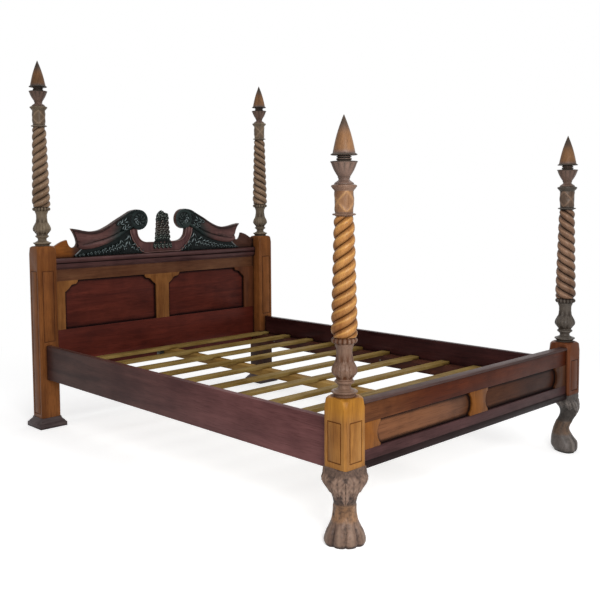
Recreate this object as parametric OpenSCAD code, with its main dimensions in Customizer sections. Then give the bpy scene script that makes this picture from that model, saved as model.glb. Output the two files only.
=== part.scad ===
// Four-poster bed with rope-twist posts, panelled headboard and footboard,
// broken swan-neck pediment, carved cabriole front legs and a slatted base.
// Millimetres. The bed stands on z = 0, its foot end towards -Y, its head end
// towards +Y, and the origin is under the middle of the plan.

/* [Plan] */
// Distance between post centres, side to side
post_span_x = 1530; // [1250:10:1900]
// Distance between post centres, foot to head
post_span_y = 2165; // [1950:5:2250]

/* [Post blocks] */
// Width of the square post blocks
post_w = 106; // [96:1:116]
// Height of the top of the head blocks
head_block_top = 960; // [945:1:990]
// Height of the top of the foot blocks
foot_block_top = 522; // [505:1:560]
// Height of the underside of the foot blocks, on the carved legs
foot_block_bottom = 276; // [240:1:290]
// Leg of the chamfer along the block's corners
corner_chamfer = 7; // [4:0.5:14]
// Leg of the chamfer where it widens at the top of a corner
stop_chamfer = 17; // [15:0.5:24]
// Height over which the corner chamfer widens
stop_length = 40; // [25:1:60]
// Distance of the incised panel from the block's sides
incise_inset = 21; // [16:0.5:26]
// Width of the incised line
incise_w = 4; // [2:0.5:6]
// Depth of the incised line
incise_d = 3; // [1:0.5:5]
// Height of the rounded shoulder at the top of a block
pommel_h = 26; // [16:1:34]
// Top of the incised panel below the top of a foot block
incise_top_foot = 82; // [60:1:100]
// Top of the incised panel below the top of a head block
incise_top_head = 130; // [80:1:170]
// Bottom of the incised panel above the block's underside
incise_bottom = 19; // [12:1:40]

/* [Plinths] */
// Width of the square plinth under a head post
plinth_w = 152; // [136:1:180]
// Height of the plinth's upright edge
plinth_edge = 22; // [12:1:30]
// Height of the plinth
plinth_h = 52; // [40:1:70]

/* [Turned posts] */
// Height of the turned post above its block, to the capital's top
turned_h = 728; // [724:1:750]
// Height of the lower ring's middle above the block
low_ring_z = 194; // [188:1:196]
// Height at which the rope twist starts
twist_start = 205; // [204:1:216]
// Height at which the rope twist ends
twist_end = 619; // [580:1:620]
// Crest radius of the rope twist at its foot
twist_r_low = 47; // [40:0.5:52]
// Crest radius of the rope twist at its top
twist_r_high = 35; // [28:0.5:40]
// Depth of the groove between two strands
strand_groove = 6.5; // [3:0.5:10]
// Number of strands
strands = 3; // [2:1:5]
// Turns that each strand makes around the post
strand_turns = 3.33; // [1:0.01:6]
// Radius of the capital's flange
capital_r = 44; // [40:0.5:50]
// Radius of the carved bulge at the foot of the baluster
bulge_r = 46.5; // [38:0.5:50]
// Diameter of the tenon under a turned post
tenon_d = 30; // [20:1:36]
// Length of that tenon
tenon_l = 58; // [30:1:80]

/* [Finials] */
// Height of a finial above the capital
finial_h = 235; // [200:1:260]
// Radius of the finial cup's rim
cup_r = 47; // [40:0.5:50]
// Radius of the flange under the finial's point
flange_r = 46; // [40:0.5:49]
// Diameter of the finial's dowel
dowel_d = 16; // [10:1:20]
// Length of the finial's dowel
dowel_l = 38; // [20:1:50]

/* [Carved legs] */
// How far the knee stands out from the post's centre, along the diagonal
knee_out = 81; // [74:1:90]
// How far the toes stand out from the post's centre, along the diagonal
toe_out = 74; // [64:1:84]
// Half the width of the paw
paw_half_w = 77; // [60:1:84]
// Half the width of the ankle
ankle_half_w = 38; // [30:1:46]
// Depth of the grooves between the toes, as a share of the paw's radius
toe_groove = 0.09; // [0:0.01:0.16]
// Diameter of the spigot that joins a block to its leg or plinth
spigot_d = 36; // [24:1:44]
// Length of that spigot
spigot_l = 30; // [20:1:38]

/* [Side rails] */
// Height of a side rail's top edge
rail_top = 435; // [400:1:470]
// Height of a side rail's bottom edge
rail_bottom = 257; // [240:1:270]
// Thickness of a side rail
rail_t = 28; // [24:1:34]
// Distance of the rail's outer face outwards from the post's centre
rail_out = 19; // [10:1:30]
// Width of a ledger strip, which is notched round the posts
ledger_w = 58; // [55:1:70]
// Height of a ledger strip
ledger_h = 60; // [30:1:64]

/* [Slats] */
// Height of the slats' tops
slat_top = 338; // [320:1:360]
// Thickness of a slat
slat_t = 15; // [12:1:20]
// Width of a slat
slat_w = 52; // [44:1:64]
// Distance from the rails' head ends in to the middle of the first slat
slat_head_in = 9; // [7:0.5:60]
// Distance from the rails' foot ends in to the middle of the last slat
slat_foot_in = 12; // [7:0.5:60]
// Width of the rail under the middle of the slats
centre_w = 56; // [45:1:90]
// Height of the rail under the middle of the slats
centre_h = 36; // [30:1:60]

/* [Headboard] */
// Distance of the headboard's face behind the post centres
head_back = 12; // [0:1:16]
// Thickness of the headboard's frame
head_t = 32; // [30:0.5:34]
// Height of the lower rail's bottom edge
head_rail_low = 257; // [240:1:270]
// Height of the panels' lower edge
head_open_low = 500; // [470:1:520]
// Height of the panels' upper edge
head_open_high = 765; // [740:1:790]
// Height of the top rail's upper edge, where the pediment stands
head_rail_high = 888; // [870:1:900]
// Width of a headboard stile
head_stile_w = 78; // [60:1:110]
// Half the width of the headboard's muntin
head_muntin_half = 45; // [35:1:60]
// Reach of the brackets beside the panels' upper corners
head_ear = 80; // [50:1:100]
// Height of those brackets
head_ear_h = 62; // [40:1:80]
// Height of the ledge moulding
ledge_h = 60; // [45:1:70]
// How far the ledge moulding stands out from the face
ledge_out = 22; // [12:1:30]

/* [Pediment] */
// Height of the scrolls above the top rail
scroll_h = 256; // [250:1:270]
// Thickness of the pediment's board
pediment_t = 22; // [18:1:28]
// Radius of a scroll's volute
volute_r = 58; // [52:1:58]
// Height of the leaf ornament between the scrolls
crest_h = 186; // [160:1:200]
// Half the width of the leaf ornament
crest_half_w = 59; // [50:1:60]
// How far the saddle's band stands out from the board
saddle_out = 6; // [3:1:8]
// How far the band along a swan neck stands out from the board
band_out = 7; // [4:1:8]
// How far the band's fillet and bead stand out from the board
scroll_out = 12; // [9:1:18]
// Width of the fillet along the band's top edge
fillet_w = 12; // [8:1:16]
// Width of the bead along the band's lower edge
bead_w = 28; // [18:1:32]

/* [Footboard] */
// Distance of the footboard's face outwards from the post centres
foot_out = 38; // [30:1:44]
// Thickness of the footboard's frame
foot_t = 36; // [34:0.5:40]
// Height of the footboard's top
foot_top = 500; // [485:1:500]
// Height of the footboard's bottom
foot_low = 260; // [255:1:270]
// Height of the panels' lower edge
foot_open_low = 324; // [314:1:334]
// Height of the panels' upper edge
foot_open_high = 421; // [410:1:430]
// Width of a footboard stile
foot_stile_w = 78; // [60:1:110]
// Half the width of the footboard's muntin at its waist
foot_muntin_half = 46; // [36:1:60]
// How far the stiles and the muntin flare beside the panels' corners
foot_flare = 18; // [8:1:26]
// Height of the cap moulding
cap_h = 11; // [8:1:16]
// Height of the base moulding
base_h = 25; // [18:1:32]
// How far the cap and base mouldings stand out
moulding_out = 6; // [3:0.5:9]

/* [Joinery] */
// Thickness of a tenon between a rail and a post
rail_tenon_t = 14; // [8:0.5:14]
// Length of such a tenon
rail_tenon_l = 25; // [15:1:30]
// Thickness of the panels
panel_t = 12; // [8:0.5:12]
// Thickness of the frame in front of the panels
panel_back = 12; // [8:0.5:12]
// Depth of the groove that holds a panel
panel_groove = 8; // [5:0.5:12]
// Clearance around pegs, tenons and panels
fit = 0.25; // [0.1:0.05:0.5]

/* [Hardware] */
// Height of a rail hook plate
plate_h = 130; // [120:1:150]
// Width of a rail hook plate
plate_w = 18; // [14:1:20]
// Thickness of a rail hook plate
plate_t = 3; // [2:0.5:4]
// Thickness of a hook
hook_t = 4; // [3:0.5:6]
// Reach of a hook into the post
hook_l = 16; // [12:1:20]
// Diameter of a screw's shank
screw_d = 4.5; // [3:0.5:6]
// Diameter of a screw's head
screw_head_d = 9; // [7:0.5:11]
// Thickness of the metal of a centre rail hanger
hanger_t = 3; // [2:0.5:4]

/* [Hidden] */
$fn = 64;
post_x = post_span_x / 2;
post_y = post_span_y / 2;
half_w = post_w / 2;
inner_x = post_x - half_w;
rail_end = post_y - half_w;
rail_outer_x = post_x + rail_out;
rail_inner_x = rail_outer_x - rail_t;
rail_mid_x = rail_outer_x - rail_t / 2;
ledger_top = slat_top - slat_t;
head_y = post_y + head_back;
foot_y = -post_y - foot_out;
foot_in_y = foot_y + foot_t;
slat_count = 11;
slat_first = rail_end - slat_head_in;
slat_last = slat_foot_in - rail_end;
slat_pitch = (slat_first - slat_last) / (slat_count - 1);
slat_end_play = 1;
post_play = 0.5;
slat_half_l = rail_inner_x - slat_end_play;
head_open_x = inner_x - head_stile_w;
foot_open_x = inner_x - foot_stile_w;
ledge_z = head_rail_high - ledge_h;
screw_l = 32;
screw_bite = 0.15;
ledger_screws_n = 7;
tenon_shoulder = 20;
hook_drop = 12;
hook_slot_h = 34;
// Colours
amber = [0.62, 0.36, 0.15];
mahogany = [0.36, 0.15, 0.10];
dark_oak = [0.30, 0.23, 0.19];
rail_brown = [0.26, 0.16, 0.16];
ebony = [0.11, 0.10, 0.10];
pine = [0.55, 0.49, 0.33];
steel = [0.62, 0.62, 0.60];
corner_names = ["head_left", "head_right", "foot_left", "foot_right"];

// ---- Curves -------------------------------------------------------------

// A smooth S from [r0, z0] to [r1, z1]
function ease(r0, z0, r1, z1, n = 6) =
    [for (i = [0:n]) let (t = i / n, s = (1 - cos(180 * t)) / 2) [r0 + (r1 - r0) * s, z0 + (z1 - z0) * t]];
// A half-round bead that stands out from radius r_in to radius r_out
function bead(z, r_in, r_out, h, n = 6) =
    [for (i = [0:n]) let (a = -90 + 180 * i / n) [r_in + (r_out - r_in) * cos(a), z + h * sin(a)]];
// A swelling curve from [r0, z0] to [r1, z1], bowed out by b
function bow(r0, z0, r1, z1, b, n = 6) =
    [for (i = [0:n]) let (t = i / n) [r0 + (r1 - r0) * t + b * sin(180 * t), z0 + (z1 - z0) * t]];
// A value that runs through the [position, value] rows of a list
function along(rows, x, i = 0) =
    x >= rows[i][0] || i >= len(rows) - 2
        ? let (t = (rows[i][0] - x) / (rows[i][0] - rows[i + 1][0]), s = min(1, max(0, t)))
          rows[i][1] + (rows[i + 1][1] - rows[i][1]) * s
        : along(rows, x, i + 1);
function reversed(p) = [for (i = [len(p) - 1:-1:0]) p[i]];
// A smooth curve through a list of points
function smooth(p, n = 5) = concat(
    [for (i = [0:len(p) - 2], j = [0:n - 1])
        let (a = p[max(i - 1, 0)], b = p[i], c = p[i + 1], d = p[min(i + 2, len(p) - 1)], t = j / n)
        ((2 * b) + (c - a) * t + (2 * a - 5 * b + 4 * c - d) * t * t + (3 * b - a - 3 * c + d) * t * t * t) / 2],
    [p[len(p) - 1]]);
function mirrored(p) = [for (i = [len(p) - 1:-1:0]) [-p[i][0], p[i][1]]];
// The same curve, moved sideways by w
function beside(p, w) =
    [for (i = [0:len(p) - 1])
        let (a = p[max(i - 1, 0)], b = p[min(i + 1, len(p) - 1)], d = (b - a) / norm(b - a))
        p[i] + w * [d[1], -d[0]]];
// The strip between that curve and the first
function strip(p, w) = concat(p, reversed(beside(p, w)));

// ---- Places -------------------------------------------------------------

// Corner 0 is head left, 1 head right, 2 foot left and 3 foot right.
// Inside, the corner's post stands at the origin and the bed lies towards -X, -Y.
module at_corner(c) {
    sx = c % 2 == 0 ? -1 : 1;
    sy = c < 2 ? 1 : -1;
    translate([sx * post_x, sy * post_y, 0]) scale_sign(sx, sy) children();
}

module scale_sign(sx, sy) {
    mirror([sx < 0 ? 1 : 0, 0, 0]) mirror([0, sy < 0 ? 1 : 0, 0]) children();
}

module at_side(s) {
    mirror([s < 0 ? 1 : 0, 0, 0]) children();
}

// A flat outline in X and Z, from its front face at y to y + t
module board(y, t) {
    translate([0, y + t, 0]) rotate([90, 0, 0]) linear_extrude(t) children();
}

module block(lo, hi) {
    translate(lo) cube(hi - lo);
}

// ---- Posts --------------------------------------------------------------

module incised_panel(w, z0, z1) {
    block([-w / 2, 0, z0], [w / 2, incise_d + 1, z0 + incise_w]);
    block([-w / 2, 0, z1 - incise_w], [w / 2, incise_d + 1, z1]);
    for (s = [-1, 1])
        block([s * (w - incise_w) / 2 - incise_w / 2, 0, z0], [s * (w - incise_w) / 2 + incise_w / 2, incise_d + 1, z1]);
}

module on_face(a) {
    rotate([0, 0, a]) translate([0, half_w - incise_d, 0]) children();
}

module rail_mortise(y, z0, z1) {
    block([-half_w - 1, y - fit, z0 - fit], [-half_w + rail_tenon_l + 1, y + rail_tenon_t + fit, z1 + fit]);
}

module post_block_solid(bottom, top) {
    corner = (post_w - corner_chamfer) / sqrt(2);
    seat_r = half_w - 6;
    difference() {
        intersection() {
            translate([0, 0, bottom]) linear_extrude(top - bottom)
                difference() {
                    square(post_w, center = true);
                    for (a = [45:90:315])
                        rotate(a) translate([corner, -half_w]) square(post_w);
                }
            rotate_extrude() polygon(concat(
                [[0, bottom - 1], [post_w, bottom - 1], [post_w, top - pommel_h]],
                [for (a = [0:15:90]) [seat_r + (corner + 1 - seat_r) * cos(a), top - pommel_h + (pommel_h + 0.01) * sin(a)]],
                [[0, top + 0.01]]));
        }
        for (a = [45:90:315])
            rotate([0, 0, a])
                translate([(post_w - corner_chamfer) / sqrt(2), -half_w, top - stop_length])
                    rotate([0, -atan((stop_chamfer - corner_chamfer) / sqrt(2) / stop_length), 0])
                        cube([post_w, post_w, stop_length * 2]);
        translate([0, 0, top - tenon_l - 2]) cylinder(d = tenon_d + 2 * fit, h = tenon_l + 3);
    }
    translate([0, 0, bottom - spigot_l]) cylinder(d = spigot_d, h = spigot_l + 1);
}

// The pocket for a catch plate and its hooks, in the face towards the rail
module catch_pocket() {
    x = rail_out - rail_t / 2;
    z = (rail_top + rail_bottom) / 2;
    block([x - plate_w / 2, -half_w - 1, z - plate_h / 2], [x + plate_w / 2, -half_w + plate_t, z + plate_h / 2]);
    for (s = [-1, 1])
        block([x - hook_t, -half_w, z + s * plate_h / 4 - hook_slot_h / 2 - hook_drop / 2],
              [x + hook_t, -half_w + hook_l + 4, z + s * plate_h / 4 + hook_slot_h / 2]);
}

module post_block(c) {
    is_head = c < 2;
    bottom = is_head ? plinth_h : foot_block_bottom;
    top = is_head ? head_block_top : foot_block_top;
    panel_w = post_w - 2 * incise_inset;
    panel_z1 = top - (is_head ? incise_top_head : incise_top_foot);
    panel_y = is_head ? head_back + (head_t - rail_tenon_t) / 2 : foot_out - foot_t + (foot_t - rail_tenon_t) / 2;
    color(amber) at_corner(c) difference() {
        post_block_solid(bottom, top);
        on_face(-90) incised_panel(panel_w, bottom + incise_bottom, panel_z1);
        if (is_head)
            on_face(180) incised_panel(panel_w, rail_top + incise_bottom, panel_z1);
        else
            on_face(0) incised_panel(panel_w, bottom + incise_bottom, panel_z1);
        catch_pocket();
        if (is_head) {
            rail_mortise(panel_y, head_rail_low + tenon_shoulder, head_open_low - tenon_shoulder);
            rail_mortise(panel_y, head_open_high + tenon_shoulder, head_rail_high - tenon_shoulder);
        } else {
            rail_mortise(panel_y, foot_block_bottom + tenon_shoulder / 2, foot_open_low - tenon_shoulder / 2);
            rail_mortise(panel_y, foot_open_high + tenon_shoulder / 2, foot_top - cap_h - tenon_shoulder / 2);
        }
    }
}

// One strand's crest lies at angle 0; the groove comes to an edge between strands
function strand_share(a) = abs(cos(strands * a / 2));
// The crest's radius, drawn in over the last few millimetres of the twist
function crest_r(t) =
    let (end = min(t, 1 - t) * (twist_end - twist_start) / 12)
    twist_r_low + (twist_r_high - twist_r_low) * t - 4 * pow(max(0, 1 - end), 2);

module rope_twist(hand) {
    sides = strands * 6;
    rings = round(strand_turns * 17);
    points = [for (k = [0:rings], i = [0:sides - 1])
        let (t = k / rings,
             a = 360 * i / sides,
             r = crest_r(t) - strand_groove * (1 - strand_share(a)),
             b = a + hand * 360 * strand_turns * t)
        [r * cos(b), r * sin(b), twist_start + (twist_end - twist_start) * t]];
    walls = [for (k = [0:rings - 1], i = [0:sides - 1])
        let (j = (i + 1) % sides, p = k * sides, q = p + sides)
        each (hand > 0
            ? [[p + i, q + i, p + j], [p + j, q + i, q + j]]
            : [[p + i, q + i, q + j], [p + i, q + j, p + j]])];
    polyhedron(points, concat(
        [[for (i = [0:sides - 1]) i]],
        walls,
        [[for (i = [sides - 1:-1:0]) rings * sides + i]]));
}

module turned_post(c) {
    z0 = c < 2 ? head_block_top : foot_block_top;
    hand = c % 2 == 0 ? 1 : -1;
    foot_r = 37;
    disc_r = 46;
    neck_r = 22.5;
    ring_z = 51;
    bulge_z = 88;
    waist_z = 162;
    waist_r = 27.5;
    drum_r = 32;
    lap = 2;
    end_r = twist_r_high - 1.5;
    low = concat(
        [[0, 0], [foot_r, 0], [foot_r, 5]],
        ease(foot_r, 6, disc_r - 5, 12, 3),
        bead(16, disc_r - 4, disc_r, 3.5),
        ease(disc_r - 10, 20, neck_r, 30),
        ease(neck_r, 38, 29, ring_z - 6, 3),
        bead(ring_z, 29, 35, 5),
        ease(28, ring_z + 7, bulge_r, bulge_z),
        ease(bulge_r, bulge_z, waist_r, waist_z, 8),
        ease(waist_r, waist_z, 34, low_ring_z - 8, 4),
        bead(low_ring_z, 37, 45, 6),
        [[34, low_ring_z + 7], [34, twist_start + lap], [0, twist_start + lap]]);
    high = concat(
        [[0, twist_end - lap], [end_r, twist_end - lap], [end_r, twist_end + lap]],
        bead(twist_end + 7, 31, 37, 4),
        [[drum_r - 1, twist_end + 13], [drum_r + 1, turned_h - 23]],
        ease(drum_r + 1, turned_h - 22, capital_r - 5, turned_h - 11, 5),
        [[capital_r, turned_h - 9], [capital_r, turned_h - 4], [capital_r - 9, turned_h], [0, turned_h]]);
    color(amber) at_place(c, z0) {
        rope_twist(hand);
        rotate_extrude() polygon(low);
        difference() {
            rotate_extrude() polygon(high);
            translate([0, 0, turned_h - dowel_l - 2]) cylinder(d = dowel_d + 2 * fit, h = dowel_l + 3);
        }
        translate([0, 0, -tenon_l]) cylinder(d = tenon_d, h = tenon_l + 1);
    }
}

module at_place(c, z) {
    translate([(c % 2 == 0 ? -1 : 1) * post_x, (c < 2 ? 1 : -1) * post_y, z]) children();
}

module finial(c) {
    z0 = (c < 2 ? head_block_top : foot_block_top) + turned_h;
    cup_top = 75;
    flange_z = 98;
    stem_r = 23;
    profile = concat(
        [[0, 0], [34, 0]],
        ease(34, 2, 19, 17),
        ease(19, 17, 22, 25, 3),
        bow(22, 26, cup_r, cup_top - 4, 3),
        [[cup_r, cup_top], [stem_r + 4, cup_top + 2]],
        bead(cup_top + 7, stem_r, stem_r + 5, 3.5, 4),
        bead(cup_top + 15, stem_r, stem_r + 4, 3, 4),
        [[stem_r, flange_z - 4], [flange_r - 3, flange_z - 3], [flange_r, flange_z], [flange_r - 3, flange_z + 3],
         [35, flange_z + 6]],
        bow(35, flange_z + 8, 1.5, finial_h - 2, 4, 8),
        [[0, finial_h]]);
    color(dark_oak) at_place(c, z0) {
        rotate_extrude() polygon(profile);
        translate([0, 0, -dowel_l]) cylinder(d = dowel_d, h = dowel_l + 1);
    }
}

module plinth(c) {
    foot = plinth_w / 2;
    slope = concat([[foot, 0], [foot, plinth_edge]],
        ease(foot - 6, plinth_edge + 3, half_w + 2, plinth_h - 5, 6), [[half_w + 2, plinth_h]]);
    outline = concat(mirrored(slope), slope);
    color(ebony) at_corner(c) difference() {
        intersection() {
            translate([0, foot, 0]) rotate([90, 0, 0]) linear_extrude(plinth_w) polygon(outline);
            translate([-foot, 0, 0]) rotate([90, 0, 90]) linear_extrude(plinth_w) polygon(outline);
        }
        translate([0, 0, plinth_h - spigot_l - 2]) cylinder(d = spigot_d + 2 * fit, h = spigot_l + 3);
    }
}

// ---- Carved legs --------------------------------------------------------

// The leg stands out along its own X; its heights are shares of the block's height
module leg(c) {
    top = foot_block_bottom;
    corner = (post_w - corner_chamfer) / sqrt(2);
    side = post_w / sqrt(2) - 1;
    outer = [[1, corner - 1], [0.96, corner + 3], [0.9, knee_out - 4], [0.78, knee_out], [0.71, knee_out - 5],
             [0.64, 60], [0.54, 48], [0.46, 32], [0.39, 27], [0.33, 32], [0.25, 50], [0.16, toe_out - 3],
             [0.1, toe_out], [0.05, toe_out - 6], [0, toe_out - 18]];
    inner = [[1, -corner + 1], [0.93, -corner + 5], [0.86, -46], [0.8, -36], [0.74, -20], [0.67, -15], [0.6, -18],
             [0.53, -30], [0.4, -45], [0.28, -52], [0.1, -56], [0.04, -46], [0, -36]];
    width = [[1, side + 1], [0.95, side + 4], [0.91, side + 6], [0.85, side + 3], [0.78, 66], [0.7, 50], [0.61, 43],
             [0.53, ankle_half_w], [0.45, ankle_half_w], [0.37, ankle_half_w + 2], [0.29, ankle_half_w + 9],
             [0.2, paw_half_w - 11], [0.13, paw_half_w], [0.06, paw_half_w - 2], [0, paw_half_w - 13]];
    levels = [1, 0.96, 0.91, 0.86, 0.81, 0.76, 0.7, 0.64, 0.58, 0.51, 0.45, 0.39, 0.33, 0.27, 0.2, 0.13, 0.09, 0.05, 0.02, 0];
    sides = 24;
    points = [for (h = levels, i = [0:sides - 1])
        let (a = 360 * i / sides,
             o = along(outer, h),
             n = along(inner, h),
             // Square at the block, round lower down
             e = 1 + 1.1 * min(1, (1 - h) / 0.3),
             toe = cos(a) > -0.1 && h < 0.3 ? toe_groove * (1 - h / 0.3) * pow(abs(sin(3 * a)), 4) : 0,
             u = sign(cos(a)) * pow(abs(cos(a)), 2 / e) * (1 - toe),
             v = sign(sin(a)) * pow(abs(sin(a)), 2 / e) * (1 - toe))
        [(o + n) / 2 + (o - n) / 2 * u, along(width, h) * v, h * top]];
    rings = len(levels);
    faces = concat(
        [[for (i = [0:sides - 1]) sides - 1 - i]],
        [for (k = [0:rings - 2], i = [0:sides - 1])
            let (j = (i + 1) % sides, p = k * sides, q = p + sides)
            each [[p + i, p + j, q + i], [p + j, q + j, q + i]]],
        [[for (i = [0:sides - 1]) (rings - 1) * sides + i]]);
    color(dark_oak) at_corner(c) difference() {
        rotate([0, 0, 45]) polyhedron(points, faces);
        translate([0, 0, top - spigot_l - 2]) cylinder(d = spigot_d + 2 * fit, h = spigot_l + 3);
    }
}

// ---- Headboard ----------------------------------------------------------

module rail_with_tenons(y, t, z0, z1, tenon_z0, tenon_z1) {
    block([-inner_x, y, z0], [inner_x, y + t, z1]);
    ty = y + (t - rail_tenon_t) / 2;
    for (s = [-1, 1])
        at_side(s) block([inner_x - 1, ty, tenon_z0], [inner_x + rail_tenon_l, ty + rail_tenon_t, tenon_z1]);
}

// The groove that a panel's edge stands in, for the frame whose face is at y
module panel_slot(y, x0, x1, z0, z1) {
    block([x0, y + panel_back, z0], [x1, y + panel_back + panel_t + fit, z1]);
}

module head_top_rail() {
    color(mahogany) difference() {
        rail_with_tenons(head_y, head_t, head_open_high, head_rail_high,
            head_open_high + tenon_shoulder, head_rail_high - tenon_shoulder);
        panel_slot(head_y, -inner_x - 1, inner_x + 1, head_open_high - 1, head_open_high + panel_groove);
        for (s = [-1, 1])
            for (x = [150, 500])
                translate([s * x, head_y + pediment_t / 2, head_rail_high - 22]) cylinder(d = 10, h = 30);
    }
}

module head_bottom_rail() {
    color(mahogany) difference() {
        rail_with_tenons(head_y, head_t, head_rail_low, head_open_low,
            head_rail_low + tenon_shoulder, head_open_low - tenon_shoulder);
        panel_slot(head_y, -inner_x - 1, inner_x + 1, head_open_low - panel_groove, head_open_low + 1);
    }
}

// A bracket that sweeps out by head_ear under the top rail, from [0, 0] downwards
function ear_curve() =
    smooth([[head_ear, 0], [head_ear * 0.86, -head_ear_h * 0.3], [head_ear * 0.5, -head_ear_h * 0.42],
            [head_ear * 0.28, -head_ear_h * 0.72], [0, -head_ear_h]]);

module head_ear_shape() {
    polygon(concat([[-1, 0]], ear_curve(), [[-1, -head_ear_h]]));
}

module head_stile(s) {
    color(amber) at_side(s) difference() {
        union() {
            block([head_open_x, head_y, head_open_low], [inner_x, head_y + head_t, head_open_high]);
            translate([head_open_x, 0, head_open_high]) mirror([1, 0, 0]) board(head_y, panel_back) head_ear_shape();
        }
        panel_slot(head_y, head_open_x - 1, head_open_x + panel_groove, head_open_low - 1, head_open_high + 1);
    }
}

module head_muntin() {
    color(amber) difference() {
        union() {
            block([-head_muntin_half, head_y, head_open_low], [head_muntin_half, head_y + head_t, head_open_high]);
            for (s = [-1, 1])
                at_side(s) translate([head_muntin_half, 0, head_open_high]) board(head_y, panel_back) head_ear_shape();
        }
        for (s = [-1, 1])
            at_side(s) panel_slot(head_y, head_muntin_half - panel_groove, head_muntin_half + 1,
                head_open_low - 1, head_open_high + 1);
    }
}

// A flat panel that stands in the grooves around it
module panel(s, y, x0, x1, z0, z1) {
    edge = panel_groove - fit;
    color(mahogany) at_side(s)
        block([x0 - edge, y + panel_back, z0 - edge], [x1 + edge, y + panel_back + panel_t, z1 + edge]);
}

module head_panel(s) {
    panel(s, head_y, head_muntin_half, head_open_x, head_open_low, head_open_high);
}

module ledge_moulding() {
    torus_h = ledge_h * 0.45;
    profile = concat(
        [[0, ledge_z], [0, head_rail_high]],
        [for (i = [0:8]) let (a = 90 - 180 * i / 8)
            [-ledge_out + torus_h / 2 - torus_h / 2 * cos(a), head_rail_high - torus_h / 2 + torus_h / 2 * sin(a)]],
        [[-ledge_out + 5, head_rail_high - torus_h - 4]],
        [for (i = [1:6]) let (a = 90 * i / 6)
            [-ledge_out + 5 + (ledge_out - 8) * (1 - cos(a)), head_rail_high - torus_h - 4 - (ledge_h - torus_h - 8) * sin(a)]],
        [[-3, ledge_z]]);
    color(mahogany) translate([-inner_x, head_y, 0]) rotate([90, 0, 90]) linear_extrude(2 * inner_x) polygon(profile);
}

// ---- Pediment -----------------------------------------------------------

// Points drawn for a board 1430 wide and 256 high, fitted to this one
function fitted(p) = [for (q = p) [q[0] * inner_x / 715, q[1] * scroll_h / 256]];
seat_z = fitted([[0, 64]])[0][1];
volute_at = fitted([[160, 196]])[0];

// Half of the board's top edge, from the middle outwards, above the top rail
function saddle() =
    concat([[0, seat_z]], smooth(fitted([[62, 64], [71, 65], [110, 66], [143, 77], [165, 102], [172, 134]])));
function swan_neck() =
    smooth(fitted([[172, 256], [212, 248], [255, 226], [307, 199], [360, 169], [415, 146], [465, 139], [512, 143],
                   [550, 151], [590, 158]]));
function tail_and_notch() =
    smooth(fitted([[590, 158], [572, 128], [560, 98], [557, 76], [566, 60], [582, 54], [600, 59], [612, 75], [619, 97]]));
function shoulder() = smooth(fitted([[619, 97], [652, 86], [685, 68], [715, 54]]));
// The lower edge of the band along the swan neck
function band_foot() =
    smooth(fitted([[205, 150], [250, 127], [304, 95], [357, 72], [400, 58], [450, 47], [496, 42], [530, 43], [556, 52]]));

module pediment_half() {
    polygon(concat([[0, 0]], saddle(), [volute_at + [30, 0]], swan_neck(), tail_and_notch(), shoulder(), [[inner_x, 0]]));
    translate(volute_at) circle(volute_r + 1);
}

// Half of the raised band that runs round the saddle, under the volute
module saddle_band() {
    polygon(concat(fitted([[0, 4]]), saddle(), fitted([[200, 148]]),
        smooth(fitted([[222, 138], [210, 91], [192, 61], [163, 28], [129, 4]]))));
}

module pediment() {
    color(mahogany) {
        translate([0, 0, head_rail_high]) {
            board(head_y, pediment_t) {
                pediment_half();
                mirror([1, 0]) pediment_half();
            }
            board(head_y - saddle_out, saddle_out + 1) {
                saddle_band();
                mirror([1, 0]) saddle_band();
            }
        }
        for (s = [-1, 1])
            for (x = [150, 500])
                translate([s * x, head_y + pediment_t / 2, head_rail_high - 20]) cylinder(d = 10 - 2 * fit, h = 22);
    }
}

// The moulded band along the swan neck, with its volute and rosette
module scroll(s) {
    neck = swan_neck();
    foot = band_foot();
    band = concat(neck, smooth(fitted([[590, 158], [572, 128], [560, 98], [556, 76], [556, 52]])), reversed(foot));
    color(ebony) at_side(s) translate([0, 0, head_rail_high]) {
        board(head_y - band_out, band_out) polygon(band);
        board(head_y - scroll_out, scroll_out) {
            intersection() {
                polygon(band);
                union() {
                    polygon(strip(neck, fillet_w));
                    polygon(strip(foot, -bead_w));
                }
            }
            translate(volute_at) circle(volute_r);
        }
        board(head_y - scroll_out - 5, 6) volute_spiral();
        translate([volute_at[0], head_y - scroll_out, volute_at[1]]) rotate([90, 0, 0]) {
            cylinder(r1 = 15, r2 = 10, h = 9);
            for (a = [0:45:315])
                rotate([0, 0, a]) translate([14, 0, 0]) cylinder(r1 = 7, r2 = 4, h = 5);
        }
    }
}

// A band that winds inwards from the volute's rim
module volute_spiral() {
    turns = 1.6;
    n = 36;
    rim = volute_r - 1;
    out = [for (i = [0:n]) let (t = i / n, r = rim * (1 - 0.5 * t), a = 90 - 360 * turns * t)
        volute_at + r * [cos(a), sin(a)]];
    in = [for (i = [0:n]) let (t = i / n, r = rim * (1 - 0.5 * t) - 9 + 3 * t, a = 90 - 360 * turns * t)
        volute_at + r * [cos(a), sin(a)]];
    polygon(concat(out, reversed(in)));
}

// Half of the leaf ornament's edge: distance from its middle, height above the saddle
function leaf_edge(share) =
    [for (q = [[59, 0], [56, 4], [50, 14], [52, 28], [49, 42], [41, 54], [44, 68], [47, 83], [43, 98], [45, 108],
               [38, 124], [33, 141], [27, 150], [24, 162], [13, 176], [2, 186]])
        [q[0] * share * crest_half_w / 59, seat_z + q[1] * crest_h / 186]];

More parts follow.
